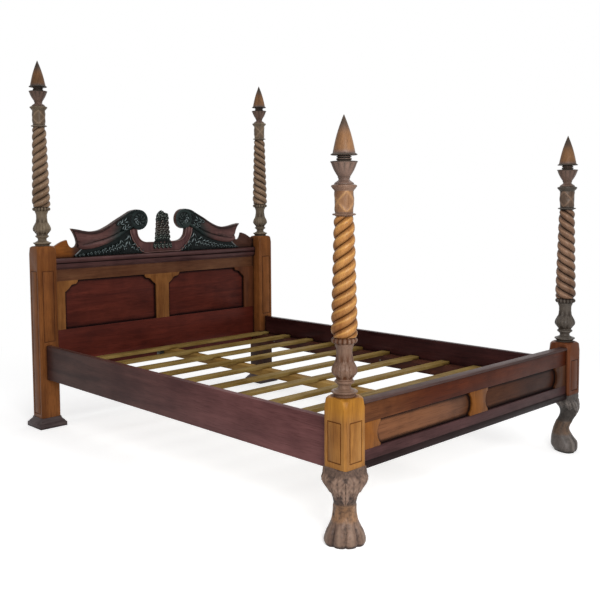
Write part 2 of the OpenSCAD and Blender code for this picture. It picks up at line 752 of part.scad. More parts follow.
// The ornament stands on the saddle; its petals hang down over the band
module crest_ornament() {
    petals = 5;
    petal_r = 21;
    petal_z = seat_z - 25;
    front = head_y - saddle_out;
    color(ebony) translate([0, 0, head_rail_high]) {
        board(front - 1, 18) polygon(concat(leaf_edge(1), mirrored(leaf_edge(1))));
        board(front - 8, 8) {
            polygon(concat(leaf_edge(0.55), mirrored(leaf_edge(0.55))));
            for (i = [0:petals - 1])
                translate([(i - (petals - 1) / 2) * petal_r * 1.9, petal_z]) circle(petal_r);
            translate([-petal_r, petal_z]) square([2 * petal_r, seat_z - petal_z + 3]);
        }
    }
}

// ---- Footboard ----------------------------------------------------------

foot_rail_top = foot_top - cap_h;

module foot_top_rail() {
    color(mahogany) difference() {
        rail_with_tenons(foot_y, foot_t, foot_open_high, foot_rail_top,
            foot_open_high + tenon_shoulder / 2, foot_rail_top - tenon_shoulder / 2);
        panel_slot(foot_y, -inner_x - 1, inner_x + 1, foot_open_high - 1, foot_open_high + panel_groove);
    }
}

module foot_bottom_rail() {
    color(mahogany) difference() {
        rail_with_tenons(foot_y, foot_t, foot_low, foot_open_low,
            foot_block_bottom + tenon_shoulder / 2, foot_open_low - tenon_shoulder / 2);
        panel_slot(foot_y, -inner_x - 1, inner_x + 1, foot_open_low - panel_groove, foot_open_low + 1);
    }
}

// The edge beside a footboard panel: full at both ends, drawn back in the middle
function flare_curve() =
    let (h = foot_open_high - foot_open_low)
    smooth([[foot_flare, 0], [foot_flare * 0.95, h * 0.1], [foot_flare * 0.35, h * 0.24], [0, h * 0.5],
            [foot_flare * 0.35, h * 0.76], [foot_flare * 0.95, h * 0.9], [foot_flare, h]]);

module foot_flare_shape() {
    polygon(concat([[-1, 0]], flare_curve(), [[-1, foot_open_high - foot_open_low]]));
}

module foot_stile(s) {
    color(amber) at_side(s) difference() {
        union() {
            block([foot_open_x, foot_y, foot_open_low], [inner_x, foot_y + foot_t, foot_open_high]);
            translate([foot_open_x, 0, foot_open_low]) mirror([1, 0, 0]) board(foot_y, panel_back) foot_flare_shape();
        }
        panel_slot(foot_y, foot_open_x - 1, foot_open_x + panel_groove, foot_open_low - 1, foot_open_high + 1);
    }
}

module foot_muntin() {
    color(amber) difference() {
        union() {
            block([-foot_muntin_half, foot_y, foot_open_low], [foot_muntin_half, foot_y + foot_t, foot_open_high]);
            for (s = [-1, 1])
                at_side(s) translate([foot_muntin_half, 0, foot_open_low]) board(foot_y, panel_back) foot_flare_shape();
        }
        for (s = [-1, 1])
            at_side(s) panel_slot(foot_y, foot_muntin_half - panel_groove, foot_muntin_half + 1,
                foot_open_low - 1, foot_open_high + 1);
    }
}

module foot_panel(s) {
    panel(s, foot_y, foot_muntin_half, foot_open_x, foot_open_low, foot_open_high);
}

module foot_cap_moulding() {
    r = cap_h / 2;
    lo = foot_y - moulding_out;
    hi = foot_in_y + moulding_out;
    profile = concat(
        [for (i = [0:6]) let (a = 270 - 180 * i / 6) [lo + r + r * cos(a), foot_rail_top + r + r * sin(a)]],
        [for (i = [0:6]) let (a = 90 - 180 * i / 6) [hi - r + r * cos(a), foot_rail_top + r + r * sin(a)]]);
    color(mahogany) translate([-inner_x, 0, 0]) rotate([90, 0, 90]) linear_extrude(2 * inner_x) polygon(profile);
}

module foot_base_moulding() {
    lo = foot_y - moulding_out;
    profile = concat(
        [[foot_y, foot_low], [lo, foot_low], [lo, foot_low + base_h * 0.45]],
        [for (i = [0:5]) let (a = 90 * i / 5)
            [lo + moulding_out * (1 - cos(a)) * 0.9, foot_low + base_h * (0.5 + 0.42 * sin(a))]],
        [[foot_y, foot_low + base_h]]);
    color(rail_brown) translate([-inner_x, 0, 0]) rotate([90, 0, 90]) linear_extrude(2 * inner_x) polygon(profile);
}

// ---- Side rails and slats -----------------------------------------------

module screw_hole(l) {
    translate([0, 0, -l]) cylinder(d = screw_d + 2 * screw_bite, h = l + 1);
    translate([0, 0, -screw_d / 2]) cylinder(d1 = screw_d, d2 = screw_head_d + 2 * screw_bite, h = screw_d / 2 + 0.01);
}

module screw(l) {
    translate([0, 0, -l]) cylinder(d = screw_d, h = l - 0.5);
    translate([0, 0, -screw_d / 2]) cylinder(d1 = screw_d, d2 = screw_head_d, h = screw_d / 2);
}

module at_ledger_screws() {
    for (i = [0:ledger_screws_n - 1])
        translate([rail_inner_x - ledger_w, -rail_end + (i + 0.5) * 2 * rail_end / ledger_screws_n,
                   ledger_top - ledger_h / 2])
            rotate([0, -90, 0]) children();
}

module at_slat_screws(i) {
    for (s = [-1, 1])
        translate([s * (rail_inner_x - ledger_w / 2), slat_y(i), slat_top]) children();
}

module side_rail(s) {
    z = (rail_top + rail_bottom) / 2;
    color(rail_brown) at_side(s) difference() {
        block([rail_inner_x, -rail_end, rail_bottom], [rail_outer_x, rail_end, rail_top]);
        for (e = [-1, 1])
            mirror([0, e < 0 ? 1 : 0, 0])
                block([rail_mid_x - plate_w / 2, rail_end - plate_t, z - plate_h / 2],
                      [rail_mid_x + plate_w / 2, rail_end + 1, z + plate_h / 2]);
        at_ledger_screws() screw_hole(ledger_w + 16);
    }
}

module ledger(s) {
    color(pine) at_side(s) difference() {
        block([rail_inner_x - ledger_w, foot_in_y, ledger_top - ledger_h], [rail_inner_x, head_y, ledger_top]);
        for (y = [-rail_end - post_w, rail_end - post_play])
            block([inner_x - post_play, y, ledger_top - ledger_h - 1], [rail_inner_x + 1, y + post_w + post_play, ledger_top + 1]);
        at_ledger_screws() screw_hole(ledger_w + 16);
        for (i = [0:slat_count - 1])
            translate([rail_inner_x - ledger_w / 2, slat_y(i), slat_top]) screw_hole(slat_t + 14);
    }
}

function slat_y(i) = slat_first - i * slat_pitch;

module slat(i) {
    color(pine) difference() {
        block([-slat_half_l, slat_y(i) - slat_w / 2, ledger_top], [slat_half_l, slat_y(i) + slat_w / 2, slat_top]);
        at_slat_screws(i) screw_hole(slat_t + 14);
        // Notches where an end slat passes the post blocks
        for (s = [-1, 1], e = [-1, 1])
            if (e * slat_y(i) + slat_w / 2 > rail_end - slat_end_play)
                at_side(s) mirror([0, e < 0 ? 1 : 0, 0])
                    block([inner_x - slat_end_play, rail_end - slat_end_play, ledger_top - 1],
                          [post_x, rail_end + post_w, slat_top + 1]);
    }
}

module slat_screws() {
    color(steel) for (i = [0:slat_count - 1])
        at_slat_screws(i) screw(slat_t + 13);
}

module ledger_screws() {
    color(steel) for (s = [-1, 1]) at_side(s) at_ledger_screws() screw(ledger_w + 15);
}

module centre_rail() {
    color(pine) block([-centre_w / 2, foot_in_y + hanger_t, ledger_top - centre_h],
        [centre_w / 2, head_y - hanger_t, ledger_top]);
}

// A stirrup screwed to the rail at each end, under the centre rail
module centre_rail_hangers() {
    seat_l = 45;
    w = centre_w / 2 + 0.5;
    z = ledger_top - centre_h;
    color(steel) for (e = [0, 1]) {
        y = e == 0 ? foot_in_y : head_y;
        translate([0, y, 0]) mirror([0, e, 0]) difference() {
            union() {
                block([-w - 22, 0, z - hanger_t], [w + 22, hanger_t, ledger_top - 6]);
                block([-w - hanger_t, 0, z - hanger_t], [w + hanger_t, seat_l, ledger_top - 6]);
            }
            block([-w, hanger_t, z], [w, seat_l + 1, ledger_top + 1]);
        }
    }
}

// ---- Rail hardware ------------------------------------------------------

module at_rail_ends() {
    for (c = [0:3]) at_corner(c) translate([rail_out - rail_t / 2, -half_w, (rail_top + rail_bottom) / 2]) children();
}

// A plate let into the rail's end, with two hooks that drop behind the catch plate
module rail_hook_plates() {
    color(steel) at_rail_ends() {
        block([-plate_w / 2, -plate_t, -plate_h / 2], [plate_w / 2, 0, plate_h / 2]);
        for (s = [-1, 1])
            translate([-hook_t / 2, 0, s * plate_h / 4]) rotate([90, 0, 90]) linear_extrude(hook_t)
                polygon([[-0.5, -8], [plate_t + 0.3, -8], [plate_t + 0.3, -8 - hook_drop], [hook_l - 4, -8 - hook_drop],
                         [hook_l, -hook_drop], [hook_l, 8], [-0.5, 8]]);
    }
}

module post_catch_plates() {
    color(steel) at_rail_ends() difference() {
        block([-plate_w / 2 + fit, 0, -plate_h / 2 + fit], [plate_w / 2 - fit, plate_t, plate_h / 2 - fit]);
        for (s = [-1, 1])
            block([-hook_t / 2 - 0.5, -1, s * plate_h / 4 - 8], [hook_t / 2 + 0.5, plate_t + 1, s * plate_h / 4 + 14]);
    }
}

for (c = [0:3]) {
    post_block(c);
    turned_post(c);
    finial(c);
}
plinth(0);  // plinth_left
plinth(1);  // plinth_right
leg(2);  // leg_left
leg(3);  // leg_right
head_top_rail();
head_bottom_rail();
head_stile(-1);  // head_stile_left
head_stile(1);  // head_stile_right
head_muntin();
head_panel(-1);  // head_panel_left
head_panel(1);  // head_panel_right
ledge_moulding();
pediment();
scroll(-1);  // scroll_left
scroll(1);  // scroll_right
crest_ornament();
foot_top_rail();
foot_bottom_rail();
foot_stile(-1);  // foot_stile_left
foot_stile(1);  // foot_stile_right
foot_muntin();
foot_panel(-1);  // foot_panel_left
foot_panel(1);  // foot_panel_right
foot_cap_moulding();
foot_base_moulding();
side_rail(-1);  // side_rail_left
side_rail(1);  // side_rail_right
ledger(-1);  // ledger_left
ledger(1);  // ledger_right
centre_rail();
for (i = [0:slat_count - 1])
    slat(i);
slat_screws();
ledger_screws();
rail_hook_plates();
post_catch_plates();
centre_rail_hangers();
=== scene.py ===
# Four-poster bed with rope-twist posts, seen from beyond the left foot post
import math
import bpy
from mathutils import Matrix, Vector


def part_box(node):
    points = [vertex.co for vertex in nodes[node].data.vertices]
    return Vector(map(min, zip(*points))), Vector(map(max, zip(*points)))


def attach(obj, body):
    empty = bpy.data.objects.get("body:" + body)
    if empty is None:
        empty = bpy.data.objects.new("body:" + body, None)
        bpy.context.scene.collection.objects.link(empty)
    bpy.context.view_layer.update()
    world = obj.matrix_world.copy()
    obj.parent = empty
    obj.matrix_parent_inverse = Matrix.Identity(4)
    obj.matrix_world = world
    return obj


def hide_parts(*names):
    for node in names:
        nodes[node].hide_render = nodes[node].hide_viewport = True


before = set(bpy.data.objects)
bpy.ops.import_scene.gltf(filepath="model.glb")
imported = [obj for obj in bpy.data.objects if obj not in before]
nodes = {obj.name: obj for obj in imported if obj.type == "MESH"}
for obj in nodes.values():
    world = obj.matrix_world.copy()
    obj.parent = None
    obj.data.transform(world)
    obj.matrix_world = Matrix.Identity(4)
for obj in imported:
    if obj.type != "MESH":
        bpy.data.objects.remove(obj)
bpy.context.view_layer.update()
mm = 0.001
print("frame loaded,", len(nodes), "nodes")

# the camera stands off the left foot corner, a little above the foot block
cameraView = {"place": (-2.858, -3.021, 1.205), "yaw": -44.16, "pitch": -4.25, "roll": -0.34,
              "lens": 50.18, "sensor": 36, "nearest": 0.05, "shiftY": -0.0667}


def addCamera(look):
    yaw, pitch, roll = (math.radians(look[k]) for k in ("yaw", "pitch", "roll"))
    ahead = Vector((-math.sin(yaw) * math.cos(pitch), math.cos(yaw) * math.cos(pitch), math.sin(pitch)))
    right = ahead.cross(Vector((0, 0, 1))).normalized()
    up = right.cross(ahead)
    across = right * math.cos(roll) + up * math.sin(roll)
    upright = up * math.cos(roll) - right * math.sin(roll)
    bpy.ops.object.camera_add()
    cam = bpy.context.object
    cam.name = "photoCamera"
    cam.data.lens = look["lens"]
    cam.data.sensor_width = look["sensor"]
    cam.data.shift_y = look["shiftY"]
    cam.data.clip_start = look["nearest"]
    turn = Matrix((across, upright, -ahead)).transposed().to_4x4()
    cam.matrix_world = Matrix.Translation(look["place"]) @ turn
    bpy.context.scene.camera = cam


addCamera(cameraView)
print("camera placed")


# small helpers

def deselectAll():
    if bpy.context.object and bpy.context.object.mode != "OBJECT":
        bpy.ops.object.mode_set(mode="OBJECT")
    bpy.ops.object.select_all(action="DESELECT")


def pick(obj):
    deselectAll()
    obj.select_set(True)
    bpy.context.view_layer.objects.active = obj


def applyModifier(obj, kind, **settings):
    pick(obj)
    mod = obj.modifiers.new(kind.title(), kind)
    for key, value in settings.items():
        setattr(mod, key, value)
    bpy.ops.object.modifier_apply(modifier=mod.name)


def editMesh(obj, *steps):
    pick(obj)
    bpy.ops.object.mode_set(mode="EDIT")
    bpy.ops.mesh.select_all(action="SELECT")
    for step in steps:
        step()
    bpy.ops.object.mode_set(mode="OBJECT")


def mergeDoubles():
    bpy.ops.mesh.remove_doubles(threshold=0.02 * mm)


def facesOut():
    bpy.ops.mesh.normals_make_consistent(inside=False)


def fillOpen():
    bpy.ops.mesh.select_all(action="DESELECT")
    bpy.ops.mesh.select_non_manifold()
    bpy.ops.mesh.fill_holes(sides=0)
    bpy.ops.mesh.select_all(action="SELECT")


def smoothShade(obj, angle=35):
    pick(obj)
    bpy.ops.object.shade_smooth_by_angle(angle=math.radians(angle))


def finishPiece(obj, material, slotName, *stands):
    obj.data.materials.clear()
    obj.data.materials.append(material)
    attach(obj, "root")
    if stands:
        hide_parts(*stands)
    return obj


def copyPiece(obj, name, move):
    twin = bpy.data.objects.new(name, obj.data.copy())
    bpy.context.scene.collection.objects.link(twin)
    twin.data.transform(move)
    if move.determinant() < 0:
        twin.data.flip_normals()
    return twin


def joinPieces(parts, name):
    deselectAll()
    for part in parts:
        part.select_set(True)
    bpy.context.view_layer.objects.active = parts[0]
    bpy.ops.object.join()
    parts[0].name = name
    return parts[0]


# a flat grid laid on a surface: place(u, v) gives x, y, z, the carving's depth and the tone. The depth paints
# shade and old polish into the hollows, and is below 0 where a highlight is painted. closed joins the grid's
# meeting sides, filled closes what is open
def gridPiece(name, columns, rows, place, closed=True, filled=False):
    deselectAll()
    bpy.ops.mesh.primitive_grid_add(x_subdivisions=columns, y_subdivisions=rows, size=2)
    obj = bpy.context.object
    obj.name = name
    depths, tones = [], []
    for vertex in obj.data.vertices:
        x, y, z, depth, tone = (*place((vertex.co.x + 1) / 2, (vertex.co.y + 1) / 2), 0)[:5]
        vertex.co = (x, y, z)
        depths.append(depth)
        tones.append(tone)
    for key, values in (("carve", depths), ("tone", tones)):
        obj.data.attributes.new(key, "FLOAT", "POINT").data.foreach_set("value", values)
    if closed:
        editMesh(obj, mergeDoubles, facesOut)
    if filled:
        editMesh(obj, fillOpen, facesOut)
    return obj


# held between 0 and 1
def hold(value):
    return min(1, max(0, value))


# a soft step from 0 at low to 1 at high
def between(low, high, value):
    t = hold((value - low) / (high - low))
    return t * t * (3 - 2 * t)


# 1 at the middle, and next to nothing two widths away
def hump(value, middle, width):
    return math.exp(-((value - middle) / width) ** 2)


# a cosine or sine that squares the circle off
def squared(wave, power):
    return math.copysign(abs(wave) ** power, wave)


# stretches of a turned outline, as rows of radius and height
def easeRows(r0, z0, r1, z1, n=8):
    turns = [(i / n, (1 - math.cos(math.pi * i / n)) / 2) for i in range(n + 1)]
    return [(r0 + (r1 - r0) * ease, z0 + (z1 - z0) * t) for t, ease in turns]


def beadRows(z, rIn, rOut, h, n=8):
    turns = [math.pi * (i / n - 0.5) for i in range(n + 1)]
    return [(rIn + (rOut - rIn) * math.cos(a), z + h * math.sin(a)) for a in turns]


def bowRows(r0, z0, r1, z1, bow, n=8):
    turns = [i / n for i in range(n + 1)]
    return [(r0 + (r1 - r0) * t + bow * math.sin(math.pi * t), z0 + (z1 - z0) * t) for t in turns]


# materials

def rgb(r, g, b):
    def linear(c):
        c /= 255
        return c / 12.92 if c <= 0.04045 else ((c + 0.055) / 1.055) ** 2.4
    return (linear(r), linear(g), linear(b), 1)


def wire(tree, a, outName, b, inName):
    tree.links.new(a.outputs[outName], b.inputs[inName])


# a Mix node's sockets for two colours, and its output for them
firstColour, secondColour, mixedColour = 6, 7, 2


# values are what the node's sockets are set to, settings are the node's own
def addNode(tree, kind, values=None, **settings):
    node = tree.nodes.new(kind)
    for key, value in settings.items():
        setattr(node, key, value)
    for socket, value in (values or {}).items():
        node.inputs[socket].default_value = value
    return node


def startGroup(name, inputs, outputs):
    group = bpy.data.node_groups.new(name, "ShaderNodeTree")
    for socket in inputs:
        kind = "NodeSocketVector" if socket == "Vector" else "NodeSocketFloat"
        group.interface.new_socket(socket, in_out="INPUT", socket_type=kind)
    for socket in outputs:
        group.interface.new_socket(socket, in_out="OUTPUT", socket_type="NodeSocketFloat")
    return group, addNode(group, "NodeGroupInput"), addNode(group, "NodeGroupOutput")


def startMaterial(name):
    mat = bpy.data.materials.new(name)
    mat.use_nodes = True
    return mat, mat.node_tree, mat.node_tree.nodes["Principled BSDF"]


# how much the streaks and the pores are drawn out along the grain, and the share of the broad figure
grainLook = {"streakSquash": 0.09, "poreSquash": 0.04, "broadShare": 0.35}


# long streaks along Z, fine pores and a height for both
def makeGrainGroup():
    inputs, outputs = ("Vector", "Figure Scale", "Pore Scale"), ("Figure", "Pores", "Height")
    group, start, end = startGroup("woodGrain", inputs, outputs)
    longStreaks, longPores = ({1: (1, 1, grainLook[key])} for key in ("streakSquash", "poreSquash"))
    long = addNode(group, "ShaderNodeVectorMath", longStreaks, operation="MULTIPLY")
    wire(group, start, "Vector", long, 0)
    streak = addNode(group, "ShaderNodeTexNoise", {"Detail": 5, "Roughness": 0.62, "Distortion": 0.7})
    wire(group, long, 0, streak, "Vector")
    wire(group, start, "Figure Scale", streak, "Scale")
    broad = addNode(group, "ShaderNodeTexNoise", {"Scale": 5, "Detail": 2})
    wire(group, start, "Vector", broad, "Vector")
    figure = addNode(group, "ShaderNodeMix", {0: grainLook["broadShare"]}, data_type="FLOAT")
    wire(group, streak, "Fac", figure, "A")
    wire(group, broad, "Fac", figure, "B")
    fine = addNode(group, "ShaderNodeVectorMath", longPores, operation="MULTIPLY")
    wire(group, start, "Vector", fine, 0)
    pore = addNode(group, "ShaderNodeTexNoise", {"Detail": 2})
    wire(group, fine, 0, pore, "Vector")
    wire(group, start, "Pore Scale", pore, "Scale")
    poreMask = addNode(group, "ShaderNodeMapRange", {"From Min": 0.52, "From Max": 0.68})
    wire(group, pore, "Fac", poreMask, "Value")
    height = addNode(group, "ShaderNodeMath", {1: -0.5}, operation="MULTIPLY_ADD")
    wire(group, poreMask, "Result", height, 0)
    wire(group, streak, "Fac", height, 2)
    wire(group, figure, 0, end, "Figure")
    wire(group, poreMask, "Result", end, "Pores")
    wire(group, height, 0, end, "Height")
    return group


# painted shade with old polish and dust in corners and the carving's hollows, and slow patches over the whole
# piece
def makeShadeAndPatinaGroup():
    inputs = ("Vector", "Shade And Carving", "Patches", "Patch Scale")
    group, start, end = startGroup("shadeAndPatina", inputs, ("Hollow", "Rubbed"))
    cloud = addNode(group, "ShaderNodeTexNoise", {"Detail": 4})
    wire(group, start, "Vector", cloud, "Vector")
    wire(group, start, "Patch Scale", cloud, "Scale")
    patch = addNode(group, "ShaderNodeMapRange", {"From Min": 0.45, "From Max": 0.75})
    wire(group, cloud, "Fac", patch, "Value")
    amount = addNode(group, "ShaderNodeMath", operation="MULTIPLY")
    wire(group, patch, "Result", amount, 0)
    wire(group, start, "Patches", amount, 1)
    hollow = addNode(group, "ShaderNodeMath", operation="ADD", use_clamp=True)
    wire(group, start, "Shade And Carving", hollow, 0)
    wire(group, amount, 0, hollow, 1)
    exposed = addNode(group, "ShaderNodeMath", {0: 1}, operation="SUBTRACT", use_clamp=True)
    wire(group, hollow, 0, exposed, 1)
    wire(group, hollow, 0, end, "Hollow")
    wire(group, exposed, 0, end, "Rubbed")
    return group


grainGroup = makeGrainGroup()
shadeAndPatinaGroup = makeShadeAndPatinaGroup()
grainTurn = {"X": (0, math.pi / 2, 0), "Y": (math.pi / 2, 0, 0), "Z": (0, 0, 0)}


def colourRamp(tree, dark, light, low=0.36, high=0.64):
    ramp = addNode(tree, "ShaderNodeValToRGB")
    for element, place, colour in zip(ramp.color_ramp.elements, (low, high), (dark, light)):
        element.position = place
        element.color = rgb(*colour)
    return ramp


# fade: a second pair of colours, by the tone attribute or by the place along an axis of the bed
def addFade(tree, coord, wood, near, fade):
    if fade["by"] == "tone":
        share = addNode(tree, "ShaderNodeAttribute", attribute_name="tone")
        out = "Fac"
    else:
        apart = addNode(tree, "ShaderNodeSeparateXYZ")
        wire(tree, coord, "Object", apart, 0)
        ends = dict(zip(("From Min", "From Max"), fade["span"]))
        share = addNode(tree, "ShaderNodeMapRange", ends, interpolation_type="SMOOTHSTEP")
        wire(tree, apart, fade["by"].upper(), share, "Value")
        out = "Result"
    far = colourRamp(tree, fade["dark"], fade["light"])
    wire(tree, wood, "Figure", far, "Fac")
    mix = addNode(tree, "ShaderNodeMix", data_type="RGBA")
    wire(tree, share, out, mix, 0)
    wire(tree, near, "Color", mix, firstColour)
    wire(tree, far, "Color", mix, secondColour)
    return mix


# painted shade in the corners between pieces, from ambient occlusion, on top of the carving's hollows
def paintCornerShade(tree, carve, amount, reach, span):
    shelter = addNode(tree, "ShaderNodeAmbientOcclusion", {"Distance": reach}, samples=6)
    paintedShade = addNode(tree, "ShaderNodeMapRange", {"From Min": span[0], "From Max": span[1], "To Max": amount})
    wire(tree, shelter, "AO", paintedShade, "Value")
    most = addNode(tree, "ShaderNodeMath", operation="MAXIMUM")
    wire(tree, paintedShade, "Result", most, 0)
    wire(tree, carve, "Fac", most, 1)
    return most


# dark and light are the figure's two colours, hollow that of painted shade and old polish, and the highlight
# colour that of painted highlights on raised parts. The corner amount is how dark the painted shade lies
# between pieces, up to the corner reach in metres from the corner
def woodMaterial(name, dark, light, hollow, grain="Z", figureScale=22, poreScale=420, poreDark=0.3,
                 roughness=(0.34, 0.58), gloss=0.07, bump=0.25, patches=0.25, patchScale=14,
                 corners=0.85, cornerShadeReach=0.016, cornerShadeSpan=(0.86, 0.52), paintedTone=None, fade=None):
    mat, tree, shader = startMaterial(name)
    coord = addNode(tree, "ShaderNodeTexCoord")
    mapping = addNode(tree, "ShaderNodeMapping", {"Rotation": grainTurn[grain]})
    wire(tree, coord, "Object", mapping, "Vector")
    scales = {"Figure Scale": figureScale, "Pore Scale": poreScale}
    wood = addNode(tree, "ShaderNodeGroup", scales, node_tree=grainGroup)
    wire(tree, mapping, "Vector", wood, "Vector")
    carve = addNode(tree, "ShaderNodeAttribute", attribute_name="carve")
    cloudy = {"Patches": patches, "Patch Scale": patchScale}
    shadeAndAge = addNode(tree, "ShaderNodeGroup", cloudy, node_tree=shadeAndPatinaGroup)
    wire(tree, coord, "Object", shadeAndAge, "Vector")
    wire(tree, paintCornerShade(tree, carve, corners, cornerShadeReach, cornerShadeSpan), 0, shadeAndAge, "Shade And Carving")
    ramp = colourRamp(tree, dark, light)
    wire(tree, wood, "Figure", ramp, "Fac")
    plain, out = (addFade(tree, coord, wood, ramp, fade), mixedColour) if fade else (ramp, "Color")
    poreColour = {secondColour: (1 - poreDark, 1 - poreDark * 1.1, 1 - poreDark * 1.15, 1)}
    pores = addNode(tree, "ShaderNodeMix", poreColour, data_type="RGBA", blend_type="MULTIPLY")
    wire(tree, wood, "Pores", pores, 0)
    wire(tree, plain, out, pores, firstColour)
    shadedAndAged = addNode(tree, "ShaderNodeMix", {secondColour: rgb(*hollow)}, data_type="RGBA")
    wire(tree, shadeAndAge, "Hollow", shadedAndAged, 0)
    wire(tree, pores, mixedColour, shadedAndAged, firstColour)
    # where the depth is below 0 the highlight colour is laid on: a painted highlight
    raised = addNode(tree, "ShaderNodeMath", {1: -1}, operation="MULTIPLY", use_clamp=True)
    wire(tree, carve, "Fac", raised, 0)
    highlighted = addNode(tree, "ShaderNodeMix", {secondColour: rgb(*(paintedTone or light))}, data_type="RGBA")
    wire(tree, raised, 0, highlighted, 0)
    wire(tree, shadedAndAged, mixedColour, highlighted, firstColour)
    wire(tree, highlighted, mixedColour, shader, "Base Color")
    rough = addNode(tree, "ShaderNodeMapRange", {"To Min": roughness[1], "To Max": roughness[0]})
    wire(tree, shadeAndAge, "Rubbed", rough, "Value")
    wire(tree, rough, "Result", shader, "Roughness")
    relief = addNode(tree, "ShaderNodeBump", {"Strength": bump, "Distance": 0.8 * mm})
    wire(tree, wood, "Height", relief, "Height")
    wire(tree, relief, "Normal", shader, "Normal")
    shader.inputs["Specular IOR Level"].default_value = gloss
    return mat


def metalMaterial(name, colour):
    mat, tree, shader = startMaterial(name)
    shader.inputs["Metallic"].default_value = 1
    coord = addNode(tree, "ShaderNodeTexCoord")
    spangle = addNode(tree, "ShaderNodeTexNoise", {"Scale": 160})
    wire(tree, coord, "Object", spangle, "Vector")
    ramp = colourRamp(tree, [c * 0.75 for c in colour], colour, 0.35, 0.7)
    wire(tree, spangle, "Fac", ramp, "Fac")
    wire(tree, ramp, "Color", shader, "Base Color")
    rough = addNode(tree, "ShaderNodeMapRange", {"To Min": 0.3, "To Max": 0.55})
    wire(tree, spangle, "Fac", rough, "Value")
    wire(tree, rough, "Result", shader, "Roughness")
    return mat


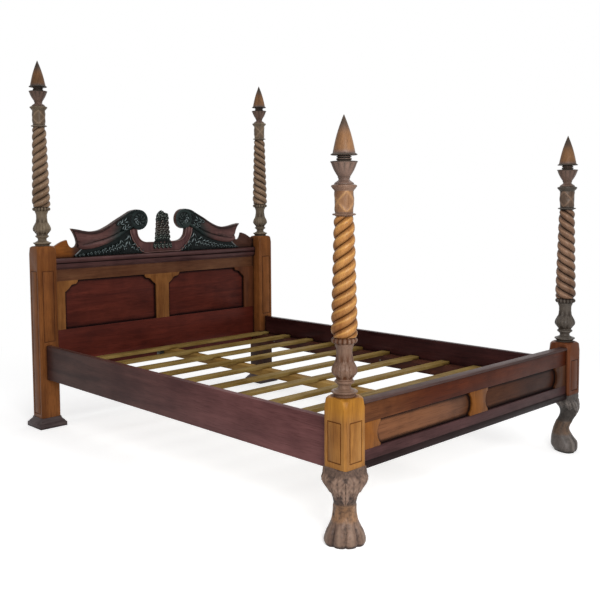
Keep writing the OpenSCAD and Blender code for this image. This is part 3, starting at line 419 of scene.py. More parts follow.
# colours as red, green and blue out of 255, spans in metres along the axis that they fade by
polished = {"gloss": 0.12, "roughness": (0.3, 0.5)}
plainSawn = {"gloss": 0.05, "roughness": (0.5, 0.75), "poreDark": 0.18}
woods = {
    "footPostWood": {"dark": (120, 76, 38), "light": (172, 122, 62), "hollow": (88, 44, 20),
                     "fade": {"by": "z", "span": (0.42, 0.5), "dark": (134, 86, 30),
                              "light": (186, 130, 50)}},
    # the right foot block: the amber of the left one, painted darker as its shade
    "shadedFootPostWood": {"dark": (80, 42, 25), "light": (114, 66, 40), "hollow": (46, 22, 14), "patches": 0.15},
    # the left head block: the same amber, painted darker as its shade
    "shadedHeadPostWood": {"dark": (100, 58, 30), "light": (142, 88, 46), "hollow": (62, 32, 18)},
    # the right head block: painted dark low down as the shade under the slats, above that the head block's
    # shaded amber
    "shadedHeadRightWood": {"dark": (46, 32, 26), "light": (70, 48, 38), "hollow": (24, 14, 12),
                      "fade": {"by": "z", "span": (0.16, 0.42), "dark": (100, 58, 30),
                               "light": (142, 88, 46)}},
    "twistWood": {"dark": (124, 76, 36), "light": (184, 132, 76), "hollow": (72, 38, 16),
                  "paintedTone": (212, 164, 92), "corners": 0.45, **polished,
                  "fade": {"by": "tone", "dark": (96, 74, 62), "light": (140, 112, 94)}},
    "farTwistWood": {"dark": (114, 88, 66), "light": (160, 132, 108), "hollow": (56, 44, 34),
                     "paintedTone": (176, 150, 122), **polished,
                     "fade": {"by": "tone", "dark": (94, 82, 68), "light": (140, 124, 104)}},
    # the right foot post's twist: the far posts' colours painted darker, as its shade
    "rightTwistWood": {"dark": (104, 76, 58), "light": (150, 118, 96), "hollow": (40, 30, 24),
                       "paintedTone": (176, 140, 112), **polished,
                       "fade": {"by": "tone", "dark": (62, 56, 50), "light": (98, 90, 82)}},
    "turnedWood": {"dark": (90, 72, 64), "light": (124, 100, 88), "hollow": (34, 38, 34), "gloss": 0.12,
                   "fade": {"by": "tone", "dark": (98, 68, 44), "light": (142, 104, 72)}},
    "carvedLegWood": {"dark": (96, 76, 66), "light": (142, 116, 100), "hollow": (58, 48, 44), "patches": 0.6,
                      "patchScale": 95, "gloss": 0.12, "paintedTone": (156, 132, 114),
                      "fade": {"by": "tone", "dark": (120, 88, 64), "light": (166, 128, 96)}},
    # the right leg: the left leg's colours painted darker and greyer, as its shade
    "shadedLegWood": {"dark": (76, 70, 66), "light": (112, 104, 100), "hollow": (52, 48, 45), "patches": 0.4,
                   "patchScale": 95, "gloss": 0.12, "paintedTone": (150, 140, 132),
                   "fade": {"by": "tone", "dark": (84, 66, 54), "light": (122, 100, 84)}},
    # the right stile is painted darker, as shade
    "frameAmberZ": {"dark": (116, 72, 38), "light": (154, 104, 58), "hollow": (62, 32, 20), "corners": 0.45,
                    "fade": {"by": "x", "span": (0.35, 0.6), "dark": (76, 42, 27), "light": (108, 64, 40)}},
    # the right stile is painted darker, as the shade of the right foot post
    "footFrameWood": {"dark": (92, 52, 20), "light": (134, 82, 34), "hollow": (50, 24, 12),
                      "fade": {"by": "x", "span": (0.4, 0.62), "dark": (58, 34, 22), "light": (90, 56, 36)}},
    "headTopWood": {"grain": "X", "dark": (84, 50, 34), "light": (116, 78, 54), "hollow": (46, 24, 18)},
    "mahoganyX": {"grain": "X", "dark": (68, 26, 20), "light": (98, 42, 32), "hollow": (40, 16, 14)},
    # lighter at the left end, painted darker as shade further right
    "footTopWood": {"grain": "X", "dark": (74, 42, 24), "light": (108, 66, 38), "hollow": (34, 14, 8),
                    "patches": 0.4,
                    "fade": {"by": "x", "span": (-0.72, -0.25), "dark": (56, 21, 9), "light": (84, 36, 14)}},
    "footLowWood": {"grain": "X", "dark": (52, 32, 32), "light": (78, 52, 52), "hollow": (30, 18, 18)},
    "footBaseWood": {"grain": "X", "dark": (26, 16, 16), "light": (42, 30, 30), "hollow": (16, 10, 10)},
    "ledgeWood": {"grain": "X", "dark": (62, 38, 38), "light": (92, 62, 60), "hollow": (32, 18, 18),
                  "gloss": 0.12, "roughness": (0.28, 0.45)},
    "headPanelWood": {"grain": "X", "dark": (64, 26, 22), "light": (98, 44, 34), "hollow": (18, 7, 8),
                      "corners": 1, "cornerShadeReach": 0.018, "cornerShadeSpan": (0.92, 0.76)},
    # the right panel is painted darker, as shade
    "footPanelWood": {"grain": "X", "dark": (84, 51, 33), "light": (120, 78, 52), "hollow": (16, 8, 8),
                      "corners": 1, "cornerShadeReach": 0.018, "cornerShadeSpan": (0.92, 0.78),
                      "patches": 0.35, "patchScale": 9,
                      "fade": {"by": "x", "span": (-0.45, 0.5), "dark": (40, 19, 11), "light": (68, 36, 22)}},
    # painted darker towards the head, as shade
    "sideRailWood": {"grain": "Y", "dark": (86, 52, 52), "light": (118, 76, 75), "hollow": (44, 22, 22),
                     "patches": 0.35, "patchScale": 4,
                     "fade": {"by": "y", "span": (-0.8, 0.9), "dark": (56, 36, 33), "light": (82, 56, 50)}},
    # the right rail: painted dark as its shaded inner side
    "shadedRailWood": {"grain": "Y", "dark": (38, 16, 16), "light": (62, 32, 30), "hollow": (22, 10, 10)},
    "capWood": {"grain": "X", "dark": (60, 44, 42), "light": (86, 66, 62), "hollow": (34, 24, 22),
                "gloss": 0.05, "roughness": (0.4, 0.55)},
    "pedimentWood": {"grain": "X", "dark": (112, 62, 26), "light": (160, 98, 44), "hollow": (14, 11, 11),
                     "patches": 0.35, "cornerShadeReach": 0.025,
                     "fade": {"by": "x", "span": (-0.61, -0.56), "dark": (58, 37, 31),
                              "light": (88, 57, 46)}},
    "saddleWood": {"dark": (66, 40, 42), "light": (98, 66, 64), "hollow": (26, 16, 18), "gloss": 0.12,
                   "paintedTone": (150, 118, 112), "patches": 0.3, "patchScale": 30},
    "scrollWood": {"grain": "X", "dark": (22, 32, 32), "light": (44, 56, 54), "hollow": (6, 10, 10),
                   "paintedTone": (150, 164, 166), **polished, "patchScale": 50,
                   "fade": {"by": "tone", "dark": (74, 47, 45), "light": (112, 78, 74)}},
    "ebonisedWood": {"dark": (30, 40, 36), "light": (62, 74, 68), "hollow": (8, 10, 9),
                     "paintedTone": (158, 166, 158), **polished, "patchScale": 50,
                     "fade": {"by": "tone", "dark": (64, 38, 34), "light": (104, 70, 60)}},
    "plinthWood": {"grain": "X", "dark": (72, 60, 60), "light": (108, 94, 92), "hollow": (34, 28, 28)},
    "slatWood": {"grain": "X", "dark": (104, 80, 36), "light": (154, 130, 78), "hollow": (84, 60, 22),
                 **plainSawn, "patches": 0.3},
    # the right ledger: the ledger's colours painted darker, as its shade
    "shadedLedgerWood": {"grain": "Y", "dark": (54, 28, 22), "light": (84, 48, 36), "hollow": (26, 12, 10)},
    "ledgerWood": {"grain": "Y", "dark": (122, 90, 42), "light": (168, 134, 76), "hollow": (90, 62, 28),
                   **plainSawn},
}
wood = {name: woodMaterial(name, **look) for name, look in woods.items()}
steel = metalMaterial("zincSteel", (120, 120, 116))
print("materials made")


# the joiner's pieces are copies of the solids with softened edges: slot, edge width in mm and pieces
softPieces = {
    "footPostWood": ("amber_wood", 1.2, ["post_block_foot_left"]),
    "shadedFootPostWood": ("amber_wood", 1.2, ["post_block_foot_right"]),
    "shadedHeadPostWood": ("amber_wood", 1.2, ["post_block_head_left"]),
    "shadedHeadRightWood": ("amber_wood", 1.2, ["post_block_head_right"]),
    "plinthWood": ("ebonised_wood", 1.5, ["plinth_left", "plinth_right"]),
    "headTopWood": ("red_wood", 1.2, ["head_top_rail"]),
    "mahoganyX": ("red_wood", 1.2, ["head_bottom_rail"]),
    "footLowWood": ("red_wood", 1.2, ["foot_bottom_rail"]),
    "footTopWood": ("red_wood", 1.2, ["foot_top_rail"]),
    "ledgeWood": ("red_wood", 0.8, ["ledge_moulding"]),
    "capWood": ("red_wood", 0.8, ["foot_cap_moulding"]),
    "pedimentWood": ("red_wood", 1.2, ["pediment"]),
    "frameAmberZ": ("amber_wood", 1.5, ["head_stile_left", "head_stile_right", "head_muntin"]),
    "footFrameWood": ("amber_wood", 1.5, ["foot_stile_left", "foot_stile_right", "foot_muntin"]),
    "headPanelWood": ("red_wood", 1.0, ["head_panel_left", "head_panel_right"]),
    "footPanelWood": ("red_wood", 1.0, ["foot_panel_left", "foot_panel_right"]),
    "sideRailWood": ("rail_wood", 2.0, ["side_rail_left"]),
    "shadedRailWood": ("rail_wood", 2.0, ["side_rail_right"]),
    "footBaseWood": ("rail_wood", 2.0, ["foot_base_moulding"]),
    "slatWood": ("slat_wood", 1.5, ["slat_%d" % (i + 1) for i in range(11)]),
    "ledgerWood": ("slat_wood", 1.5, ["ledger_left", "centre_rail"]),
    "shadedLedgerWood": ("slat_wood", 1.5, ["ledger_right"]),
}
# angles in degrees: what counts as flat, as an edge to soften and as an edge to keep sharp in the shading
softEdge = {"flat": 1, "edge": 40, "sharp": 30, "steps": 2}
hardware = ["slat_screws", "ledger_screws", "rail_hook_plates", "post_catch_plates", "centre_rail_hangers"]


def dissolveFlat():
    bpy.ops.mesh.dissolve_limited(angle_limit=math.radians(softEdge["flat"]))


def softenNode(nodeName, width):
    piece = bpy.data.objects.new(nodeName + ".soft", nodes[nodeName].data.copy())
    bpy.context.scene.collection.objects.link(piece)
    editMesh(piece, mergeDoubles, dissolveFlat)
    applyModifier(piece, "BEVEL", width=width * mm, segments=softEdge["steps"], limit_method="ANGLE",
                  angle_limit=math.radians(softEdge["edge"]))
    smoothShade(piece, softEdge["sharp"])
    return piece


for materialName, (slotName, width, members) in softPieces.items():
    for member in members:
        finishPiece(softenNode(member, width), wood[materialName], slotName, member)
for nodeName in hardware:
    nodes[nodeName].data.materials.clear()
    nodes[nodeName].data.materials.append(steel)
print("joinery softened")


# a turned piece round Z: carved(radius, angle, z) gives the carved radius, the angle after a twist, the
# carving's depth and the tone
def turnedPiece(name, rows, columns, carved):
    def place(u, v):
        radius, z = rows[round(v * (len(rows) - 1))]
        radius, angle, depth, tone = carved(radius, 2 * math.pi * u, z)
        return radius * math.cos(angle) * mm, radius * math.sin(angle) * mm, z * mm, depth, tone

    obj = gridPiece(name, columns, len(rows) - 1, place)
    smoothShade(obj, 50)
    return obj


# turned posts with the rope twist: heights with their radii, in mm above the block
post = {"disc": (16, 46.5), "neck": (30, 22.5), "ring": (51, 35), "bulge": (88, 45), "waist": (162, 28),
        "knobs": (194, 46), "twist": (206, 619), "crest": (47.5, 35.5), "top": 728,
        "collar": 41, "drum": 33, "cap": 44.5, "columns": 96, "twistRows": 170}
twist = {"strands": 3, "turns": 3.33, "groove": 11, "strandHighlight": (0.36, 0.09)}
baluster = {"leaves": 8, "leafHigh": 62, "backFrom": 12, "backHigh": 76, "swell": 5, "sink": 3}
knobs = {"count": 16, "half": 10.5, "groove": 4.2}
drum = {"straps": 3, "width": 0.1, "swell": 1.8}


def postRows():
    (disc, discR), (neck, neckR), (ring, ringR) = post["disc"], post["neck"], post["ring"]
    (bulge, bulgeR), (waist, waistR), (knob, knobR) = post["bulge"], post["waist"], post["knobs"]
    (low, high), (lowR, highR), top, cap = post["twist"], post["crest"], post["top"], post["cap"]
    rows = [(0, 0), (37, 0), (37, 5)] + easeRows(37, 6, 42, disc - 4, 4) + beadRows(disc, 43, discR, 3.5)
    rows += easeRows(36, disc + 4, neckR, neck, 6) + easeRows(neckR, neck + 8, 29, ring - 6, 4)
    rows += beadRows(ring, 29, ringR, 5)
    rows += easeRows(29, ring + 7, bulgeR, bulge, 16) + easeRows(bulgeR, bulge + 1, 30, bulge + 46, 22)
    rows += bowRows(30, bulge + 48, waistR, waist, -0.6, 10) + easeRows(waistR, waist + 1, 34, knob - 11, 6)
    rows += beadRows(knob, 35, knobR, 10, 14)
    for i in range(post["twistRows"] + 1):
        t = i / post["twistRows"]
        pinch = 6 * max(0, 1 - min(t, 1 - t) * 22) ** 2
        rows.append((lowR + (highR - lowR) * t - pinch, low + (high - low) * t))
    rows += [(31, high + 1)] + beadRows(high + 7, 31, post["collar"], 4, 6) + [(31, high + 12)]
    rows += bowRows(post["drum"] - 1.5, high + 14, post["drum"], top - 23, 1.2, 22)
    rows += easeRows(post["drum"] + 0.5, top - 22, 41, top - 11, 6)
    rows += [(cap - 0.5, top - 9), (cap, top - 6), (cap - 1, top - 3), (35, top), (0, top)]
    return rows


# height of one acanthus leaf, 0 outside it
def leafRelief(across, along, veins=5):
    notch = 1 - 0.2 * abs(math.sin(veins * math.pi * along))
    half = math.sin(math.pi * min(1, along ** 0.8)) ** 0.6 * notch
    if half <= 0.02 or abs(across) >= half:
        return 0
    body = (1 - (across / half) ** 2) ** 0.5
    ribs = 0.22 * abs(math.sin(math.pi * veins * (along + 0.45 * abs(across))))
    return max(0, body - 0.5 * hump(across, 0, 0.09) - ribs)


# where the angle falls between two of the repeats round the post, from 0 to 1
def aroundShare(count, angle, shift=0):
    return (count * angle / (2 * math.pi) + shift) % 1


# each relief gives the change of radius, the carving's depth and the tone
def twistRelief(angle, z):
    low, high = post["twist"]
    share = aroundShare(twist["strands"], angle)
    away = abs(2 * share - 1)
    dip = 0.5 * away ** 2 + 0.5 * (1 - math.sqrt(max(0, 1 - away ** 2.2)))
    ends = min(1, min(z - low, high - z) / 10)
    # deep paints shade in the broad valleys between the strands, darkest in the groove, and a painted
    # highlight runs along one flank of each strand
    deep = 0.6 * away ** 2 + (0.1 + 0.3 * ends) * away ** 7
    return -twist["groove"] * dip, deep - 0.4 * hump(share, *twist["strandHighlight"]), 0


def balusterRelief(angle, z, foot, top):
    front, back, backFoot = 0, 0, foot + baluster["backFrom"]
    if z < foot + baluster["leafHigh"]:
        across = 2 * aroundShare(baluster["leaves"], angle) - 1
        front = leafRelief(across, (z - foot) / baluster["leafHigh"])
    if z > backFoot:
        across = 2 * aroundShare(baluster["leaves"], angle, 0.5) - 1
        back = leafRelief(across, (z - backFoot) / baluster["backHigh"])
    lift = max(front, 0.75 * back)
    fade = between(top, foot + 66, z)
    change = (lift * baluster["swell"] - baluster["sink"]) * fade
    return change, (1 - min(1, lift * 1.5)) * 0.75 * fade, 1


def knobRelief(angle, z):
    knob = abs(math.cos(knobs["count"] * angle / 2))
    away = abs(z - post["knobs"][0]) / 10
    # a painted highlight on the knobs' tops, darker in the grooves between them
    exposed = 0.9 * max(0, knob - 0.55 - 0.3 * away)
    return -knobs["groove"] * (1 - knob), 0.3 + (1 - knob) * 0.7 - exposed, 1


def drumRelief(angle, climb):
    strap = 0
    for way in (-1, 1):
        away = aroundShare(drum["straps"], angle, way * climb + 0.5) - 0.5
        strap = max(strap, hump(away, 0, drum["width"]))
    # a painted highlight on the straps, darker between them
    return (strap - 0.5) * drum["swell"], 0.32 * (1 - strap) - 0.2 * strap, 0.6


def postRelief(angle, z):
    low, high = post["twist"]
    leafFoot, leafTop = post["ring"][0] + 10, post["waist"][0] - 4
    drumFoot, drumTop = high + 14, post["top"] - 22
    if low <= z <= high:
        return twistRelief(angle, z)
    if leafFoot < z < leafTop:
        return balusterRelief(angle, z, leafFoot, leafTop)
    if abs(z - post["knobs"][0]) < knobs["half"]:
        return knobRelief(angle, z)
    if drumFoot < z < drumTop:
        return drumRelief(angle, (z - drumFoot) / (drumTop - drumFoot))
    return 0, 0.15 if z > high else 0, 1


def carvedPost(radius, angle, z):
    low, high = post["twist"]
    change, depth, tone = postRelief(angle, z) if radius > 0 else (0, 0, 1)
    turned = angle + 2 * math.pi * twist["turns"] * hold((z - low) / (high - low))
    return radius + change, turned, depth, tone


# finials: a cup of petals, two rings and a pointed cone
finial = {"footR": 34, "neckR": 19, "petalsFrom": 26, "cup": (78, 47), "flange": (101, 46), "coneR": 38.5,
          "tip": 235, "petals": 12, "petalGroove": 1.6, "columns": 72}


def finialRows():
    (cup, cupR), (flange, flangeR) = finial["cup"], finial["flange"]
    foot, neck, cone, tip = finial["footR"], finial["neckR"], finial["coneR"], finial["tip"]
    rows = [(0, 0), (foot, 0)] + easeRows(foot, 1.5, neck, 17) + easeRows(neck, 18, neck + 3, 25, 4)
    rows += bowRows(neck + 2, finial["petalsFrom"], cupR - 2, cup - 5, 2.5, 20)
    rows += [(cupR - 0.2, cup - 3), (cupR, cup - 1.5), (cupR - 2, cup), (27, cup + 1.5)]
    rows += beadRows(cup + 7, 22, 27, 3.5, 6) + beadRows(cup + 15, 21, 26, 3, 6) + [(22, flange - 4)]
    rows += [(flangeR - 3, flange - 3), (flangeR - 0.4, flange - 1.5), (flangeR, flange - 0.5)]
    rows += [(flangeR - 1, flange + 1), (flangeR - 5, flange + 3), (cone, flange + 5)]
    rows += bowRows(cone, flange + 7, 1.2, tip - 1, 4, 30) + [(0, tip)]
    return rows


# grooves between the petals, dark edges and a tip that darkens
def carvedFinial(radius, angle, z):
    low, cup, flange, tip = finial["petalsFrom"], finial["cup"][0], finial["flange"][0], finial["tip"]
    depth = 0.7 if abs(z - cup) < 4 or abs(z - flange) < 4 else 0.7 * between(tip - 70, tip - 20, z)
    if low < z < cup - 6:
        gap = 1 - abs(math.cos(finial["petals"] * angle / 2)) ** 0.7
        rise = between(low, cup - 8, z)
        radius -= finial["petalGroove"] * gap * rise
        depth = max(depth, 0.6 * gap * rise)
    grey = 0.75 * between(tip - 75, tip - 25, z)
    return radius, angle, depth, between(flange + 4, flange + 20, z) * (1 - grey)


def setOnPosts(master, kind, looks, slotName, rise):
    for corner in ("head_left", "head_right", "foot_left", "foot_right"):
        low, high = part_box("post_block_" + corner)
        base = Vector(((low.x + high.x) / 2, (low.y + high.y) / 2, high.z + rise * mm))
        flip = Matrix.Scale(-1, 4, (1, 0, 0)) if corner.endswith("right") else Matrix.Identity(4)
        twin = copyPiece(master, kind + "_" + corner + ".carved", Matrix.Translation(base) @ flip)
        finishPiece(twin, wood[looks.get(corner, looks["other"])], slotName, kind + "_" + corner)
    bpy.data.objects.remove(master)


twistLooks = {"foot_left": "twistWood", "foot_right": "rightTwistWood", "other": "farTwistWood"}
postMaster = turnedPiece("turnedPost", postRows(), post["columns"], carvedPost)
setOnPosts(postMaster, "turned_post", twistLooks, "amber_wood", 0)
finialMaster = turnedPiece("finial", finialRows(), finial["columns"], carvedFinial)
setOnPosts(finialMaster, "finial", {"other": "turnedWood"}, "dark_wood", post["top"])
print("posts and finials turned")


# carved legs: acanthus on the knee, tendons down the ankle, four toes. Outlines go down from the top, as
# shares of the height with mm from the post's middle line: the toes' side, the bed's side and the half width
leg = {"height": 276, "columns": 144, "rows": 150, "toeStep": 44, "tendons": 4.1,
       "outer": [(1, 69), (0.96, 71), (0.9, 71), (0.78, 72), (0.71, 69), (0.64, 60), (0.54, 48), (0.46, 32),
                 (0.39, 27), (0.33, 32), (0.25, 48), (0.16, 66), (0.1, 70), (0.05, 70), (0, 60)],
       "inner": [(1, -69), (0.93, -65), (0.86, -46), (0.8, -36), (0.74, -20), (0.67, -15), (0.6, -18),
                 (0.53, -30), (0.4, -45), (0.28, -52), (0.1, -56), (0.04, -46), (0, -36)],
       "half": [(1, 75), (0.95, 77), (0.9, 79), (0.86, 83), (0.82, 79), (0.75, 63), (0.7, 54), (0.64, 47),
                (0.55, 42.5), (0.46, 41.5), (0.375, 43), (0.29, 48), (0.2, 61), (0.11, 73), (0.06, 77),
                (0.02, 74), (0, 66)]}
# the knee's leaves: middle and half spread in degrees, top and tip as shares of the height
kneeLeaves = [(0, 22, 0.86, 0.53)]
for way in (-1, 1):
    kneeLeaves += [(26 * way, 24, 0.93, 0.66), (66 * way, 24, 0.93, 0.7), (46 * way, 18, 0.84, 0.6),
                   (106 * way, 24, 0.93, 0.74), (146 * way, 24, 0.93, 0.76)]


def alongRows(rows, x):
    for (x0, y0), (x1, y1) in zip(rows, rows[1:]):
        if x >= x1:
            return y0 + (y1 - y0) * hold((x0 - x) / (x0 - x1))
    return rows[-1][1]


def smoothAlong(rows, x, reach=0.03):
    spots = [x + reach * s for s in (-1, -0.6, -0.2, 0.2, 0.6, 1)]
    return sum(alongRows(rows, hold(s)) for s in spots) / len(spots)


# front is the angle from the toes in degrees, h the share of the height; each relief gives the swell in mm,
# the carving's depth and its painted highlight
def toeRelief(front, h):
    if h >= 0.34 or abs(front) >= 100:
        return 0, 0, 0
    step = leg["toeStep"]
    grip = between(0.34, 0.2, h)
    groove = hump((front + step / 2) % step, step / 2, 6.5) if abs(front) < 76 else 0
    gap = abs(math.cos(math.radians(front * 180 / step)))
    swell = grip * (3 * (1 - groove) * hump(h, 0.17, 0.06) - 2 - 7 * groove)
    swell += grip * 1.5 * hump(h, 0.03, 0.03) * (1 - gap)
    # a painted highlight down the middle of each toe; the grooves and the very bottom are darker
    bright = 0.45 * hump(front % step, step / 2, 6) * between(0.33, 0.22, h) * between(0.01, 0.06, h)
    return swell, max(0, 0.5 * grip * groove ** 2, 0.5 * between(0.03, 0.0, h)), bright


def ankleRelief(front, h):
    if not 0.3 < h < 0.56:
        return 0, 0
    strand = abs(math.sin(math.radians(front * leg["tendons"]))) ** 3
    fade = between(0.3, 0.36, h) * between(0.56, 0.48, h)
    return -1.6 * strand * fade, 0.45 * strand * fade


def kneeRelief(front, h):
    if h <= 0.5:
        return 0, 0, 0
    leaf = 0
    for centre, reach, top, tip in kneeLeaves:
        spread = (front - centre + 180) % 360 - 180
        along = (top - h) / (top - tip)
        if 0 < along < 1:
            leaf = max(leaf, leafRelief(spread / reach, along, 4))
    fade = between(0.93, 0.9, h) * between(0.49, 0.55, h)
    # a painted highlight on the leaves' raised parts
    bright = 1.6 * max(0, leaf - 0.62) * fade * (0.6 + 0.4 * math.sin(60 * h))
    depth = max((1 - min(1, 1.5 * leaf)) * 0.7 * fade, 0.45 * between(0.9, 0.93, h))
    return (leaf * 6 - 3) * fade, depth, bright


def legRelief(angle, h):
    front = math.degrees((angle + math.pi) % (2 * math.pi) - math.pi)
    toeSwell, toeDepth, toeBright = toeRelief(front, h)
    ankleSwell, ankleDepth = ankleRelief(front, h)
    kneeSwell, kneeDepth, kneeBright = kneeRelief(front, h)
    depth = max(toeDepth, ankleDepth, kneeDepth) * (1 - min(1, 3 * kneeBright))
    tone = between(0.58, 0.5, h) * between(0.27, 0.33, h)
    return toeSwell + ankleSwell + kneeSwell, depth - min(0.8, toeBright + kneeBright), tone


def buildLeg(name):
    def place(u, v):
        angle, h = 2 * math.pi * u, v
        outer, inner, half = (smoothAlong(leg[key], h) for key in ("outer", "inner", "half"))
        power = 2 / (1 + 1.1 * min(1, (1 - h) / 0.3) - 0.35 * between(0.25, 0.08, h))
        swell, depth, tone = legRelief(angle, h)
        c, s = math.cos(angle), math.sin(angle)
        x = (outer + inner) / 2 + (outer - inner) / 2 * squared(c, power) + swell * c
        y = half * squared(s, power) + swell * s
        return x * mm, y * mm, h * leg["height"] * mm, depth, tone

    obj = gridPiece(name, leg["columns"], leg["rows"], place, filled=True)
    smoothShade(obj, 60)
    return obj


legMaster = buildLeg("leg")
for side, turn in (("left", -135), ("right", -45)):
    low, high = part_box("post_block_foot_" + side)
    centre = Vector(((low.x + high.x) / 2, (low.y + high.y) / 2, 0))
    stance = Matrix.Translation(centre) @ Matrix.Rotation(math.radians(turn), 4, "Z")
    twin = copyPiece(legMaster, "leg_" + side + ".carved", stance)
    finishPiece(twin, wood["carvedLegWood" if side == "left" else "shadedLegWood"], "dark_wood", "leg_" + side)
bpy.data.objects.remove(legMaster)
print("legs carved")


# the pediment's carving: swan necks with volutes, foliage and the leaf ornament. Outlines are those of one
# side, in mm out from the middle and up from the headboard's rail
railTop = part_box("head_top_rail")[1].z / mm
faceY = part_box("head_stile_left")[0].y / mm
outlineFit = 0.9958  # the band and the saddle are drawn a little wide
band = {"neck": [(172, 256), (212, 248), (255, 226), (307, 199), (360, 169), (415, 146), (465, 139),
                 (512, 143), (550, 151), (590, 158)],
        "foot": [(205, 150), (250, 127), (304, 95), (357, 72), (400, 58), (450, 47), (496, 42), (530, 43),
                 (556, 52)],
        "fillet": 12, "bead": 28, "tailSweep": 11, "columns": 110, "rows": 60}


# smooth line through the points
def curvePoints(points, steps=10):
    line = []
    for i in range(len(points) - 1):
        a, b, c, d = (Vector(points[min(max(j, 0), len(points) - 1)]) for j in (i - 1, i, i + 1, i + 2))
        for t in (k / steps for k in range(steps)):
            straight = 2 * b + (c - a) * t
            bend = (2 * a - 5 * b + 4 * c - d) * t * t
            swing = (3 * b - a - 3 * c + d) * t ** 3
            line.append(0.5 * (straight + bend + swing))
    line.append(Vector(points[-1]))
    return line


def onLine(line, share):
    spot = share * (len(line) - 1)
    i = min(int(spot), len(line) - 2)
    return line[i].lerp(line[i + 1], spot - i)


# a point that stands out from the headboard's face, z above its rail
def onBoard(x, z, out):
    return x * mm, (faceY - out) * mm, (railTop + z) * mm


# the grid's outermost cells stand upright as the piece's walls: shares along and down its face, and whether
# the point is on that face
def onFace(u, v, size):
    along = hold((u * size["columns"] - 1) / (size["columns"] - 2))
    down = hold((v * size["rows"] - 1) / (size["rows"] - 2))
    return along, down, u not in (0, 1) and v not in (0, 1)


# how far the band stands out, d mm below its top edge and e mm above its foot
def bandOut(d, e):
    if d < band["fillet"]:
        return 12 - 2 * (1 - d / band["fillet"]) ** 4
    if e < band["bead"]:
        return 4 + 8 * math.sin(math.pi * e / band["bead"]) ** 0.7
    return 7 + 3 * math.exp(-(d - band["fillet"]) / 8) - 5 * hump(e, band["bead"] + 6, 5)


def buildBand(name):
    neck, foot = curvePoints(band["neck"], 12), curvePoints(band["foot"], 12)
    fillet, bead = band["fillet"], band["bead"]

    def place(u, v):
        share, down, raised = onFace(u, v, band)
        top, low = onLine(neck, share), onLine(foot, share)
        wide = (low - top).length
        d, e = down * wide, (1 - down) * wide
        spot = top.lerp(low, down)
        x = spot.x - band["tailSweep"] * between(0.8, 1, share) * math.sin(math.pi * down)
        out = bandOut(d, e) if raised else 0
        groove = hump(e, bead + 6, 4) + hump(d, fillet + 2, 3)
        # the fillet strip along the top is painted darker
        paintedTone = 0.6 * between(fillet + 2, fillet - 2, d)
        tone = between(0.14, 0.46, share - 0.1 * down)
        return (*onBoard(x * outlineFit, spot.y, out), min(1, max(paintedTone, 0.85 * groove)), tone)

    return gridPiece(name, band["columns"], band["rows"], place, closed=False, filled=True)


volute = {"middle": (159.3, 196), "reach": 58, "petals": 9, "columns": 144, "rows": 58}


# a smooth rim that winds in round a leafy eye, with a painted highlight on the side away from the middle
def buildVolute(name):
    (cx, cz), reach = volute["middle"], volute["reach"]

    def place(u, v):
        angle, r = 2 * math.pi * u, reach * v
        inner = 34 + 11 * ((u + 0.3) % 1)
        rim = between(inner - 3, inner + 1, r)
        lobe = abs(math.cos(volute["petals"] * (angle + 0.02 * r) / 2)) ** 0.7 * between(4, 14, r)
        ribs = abs(math.sin(0.36 * r * math.cos(angle) + 0.9 * math.sin(0.16 * r * math.sin(angle))))
        dome = 8.5 + 3.5 * math.sin(math.pi * hold((r - inner) / (reach - inner))) ** 0.5
        out = rim * dome + (1 - rim) * (4 + 5 * lobe + 3 * ribs + 4 * hump(r, 0, 8))
        side = 0.25 + 0.75 * max(0, math.cos(angle + 0.5))
        bright = (1 - rim) * side * ribs ** 2 * (0.4 + 0.8 * lobe)
        deep = (1 - rim) * (1 - ribs * (0.3 + 0.7 * lobe)) + hump(r, inner - 2, 2.5)
        spot = onBoard(cx + r * math.cos(angle), cz + r * math.sin(angle), 0 if v == 1 else out)
        return (*spot, min(1, deep) - min(0.9, bright))

    return gridPiece(name, volute["columns"], volute["rows"], place, filled=True)


saddle = {"top": [(0, 64), (36, 64), (71, 65), (110, 66), (143, 77), (165, 102), (172, 134), (174, 148)],
          "low": [(0, 3), (65, 3), (129, 4), (163, 28), (192, 61), (210, 91), (219, 116), (222, 138)],
          "out": 6.5, "beadIn": 4, "lineIn": 9, "columns": 150, "rows": 30}


# the flat band round the saddle with a bead along both edges
def buildSaddle(name):
    halves = (saddle["top"], saddle["low"])
    top, low = (curvePoints([(-x, z) for x, z in reversed(line[1:])] + line, 10) for line in halves)

    def place(u, v):
        share, down, raised = onFace(u, v, saddle)
        a, b = onLine(top, share), onLine(low, share)
        wide = (b - a).length
        d, e = down * wide, (1 - down) * wide
        bump = hump(d, saddle["beadIn"], 2.5) + hump(e, saddle["beadIn"], 2.5)
        line = hump(d, saddle["lineIn"], 2.2) + hump(e, saddle["lineIn"], 2.2)
        out = saddle["out"] + 3 * bump - 1.5 * line if raised else 0
        spot = a.lerp(b, down)
        flutes = between(0.15, 0.05, min(share, 1 - share)) * math.sin(3 * math.pi * down) ** 2
        # the beads and the flutes at the ends get a painted highlight, the line inside each bead is darker
        depth = min(1, 0.8 * line) - 0.6 * min(1, bump + 0.7 * flutes)
        return (*onBoard(spot.x * outlineFit, spot.y, out), depth)

    obj = gridPiece(name, saddle["columns"], saddle["rows"], place, closed=False, filled=True)
    smoothShade(obj, 50)
    return obj


leafLook = {"lobes": 3, "thick": 0.09, "columns": 14, "rows": 28}


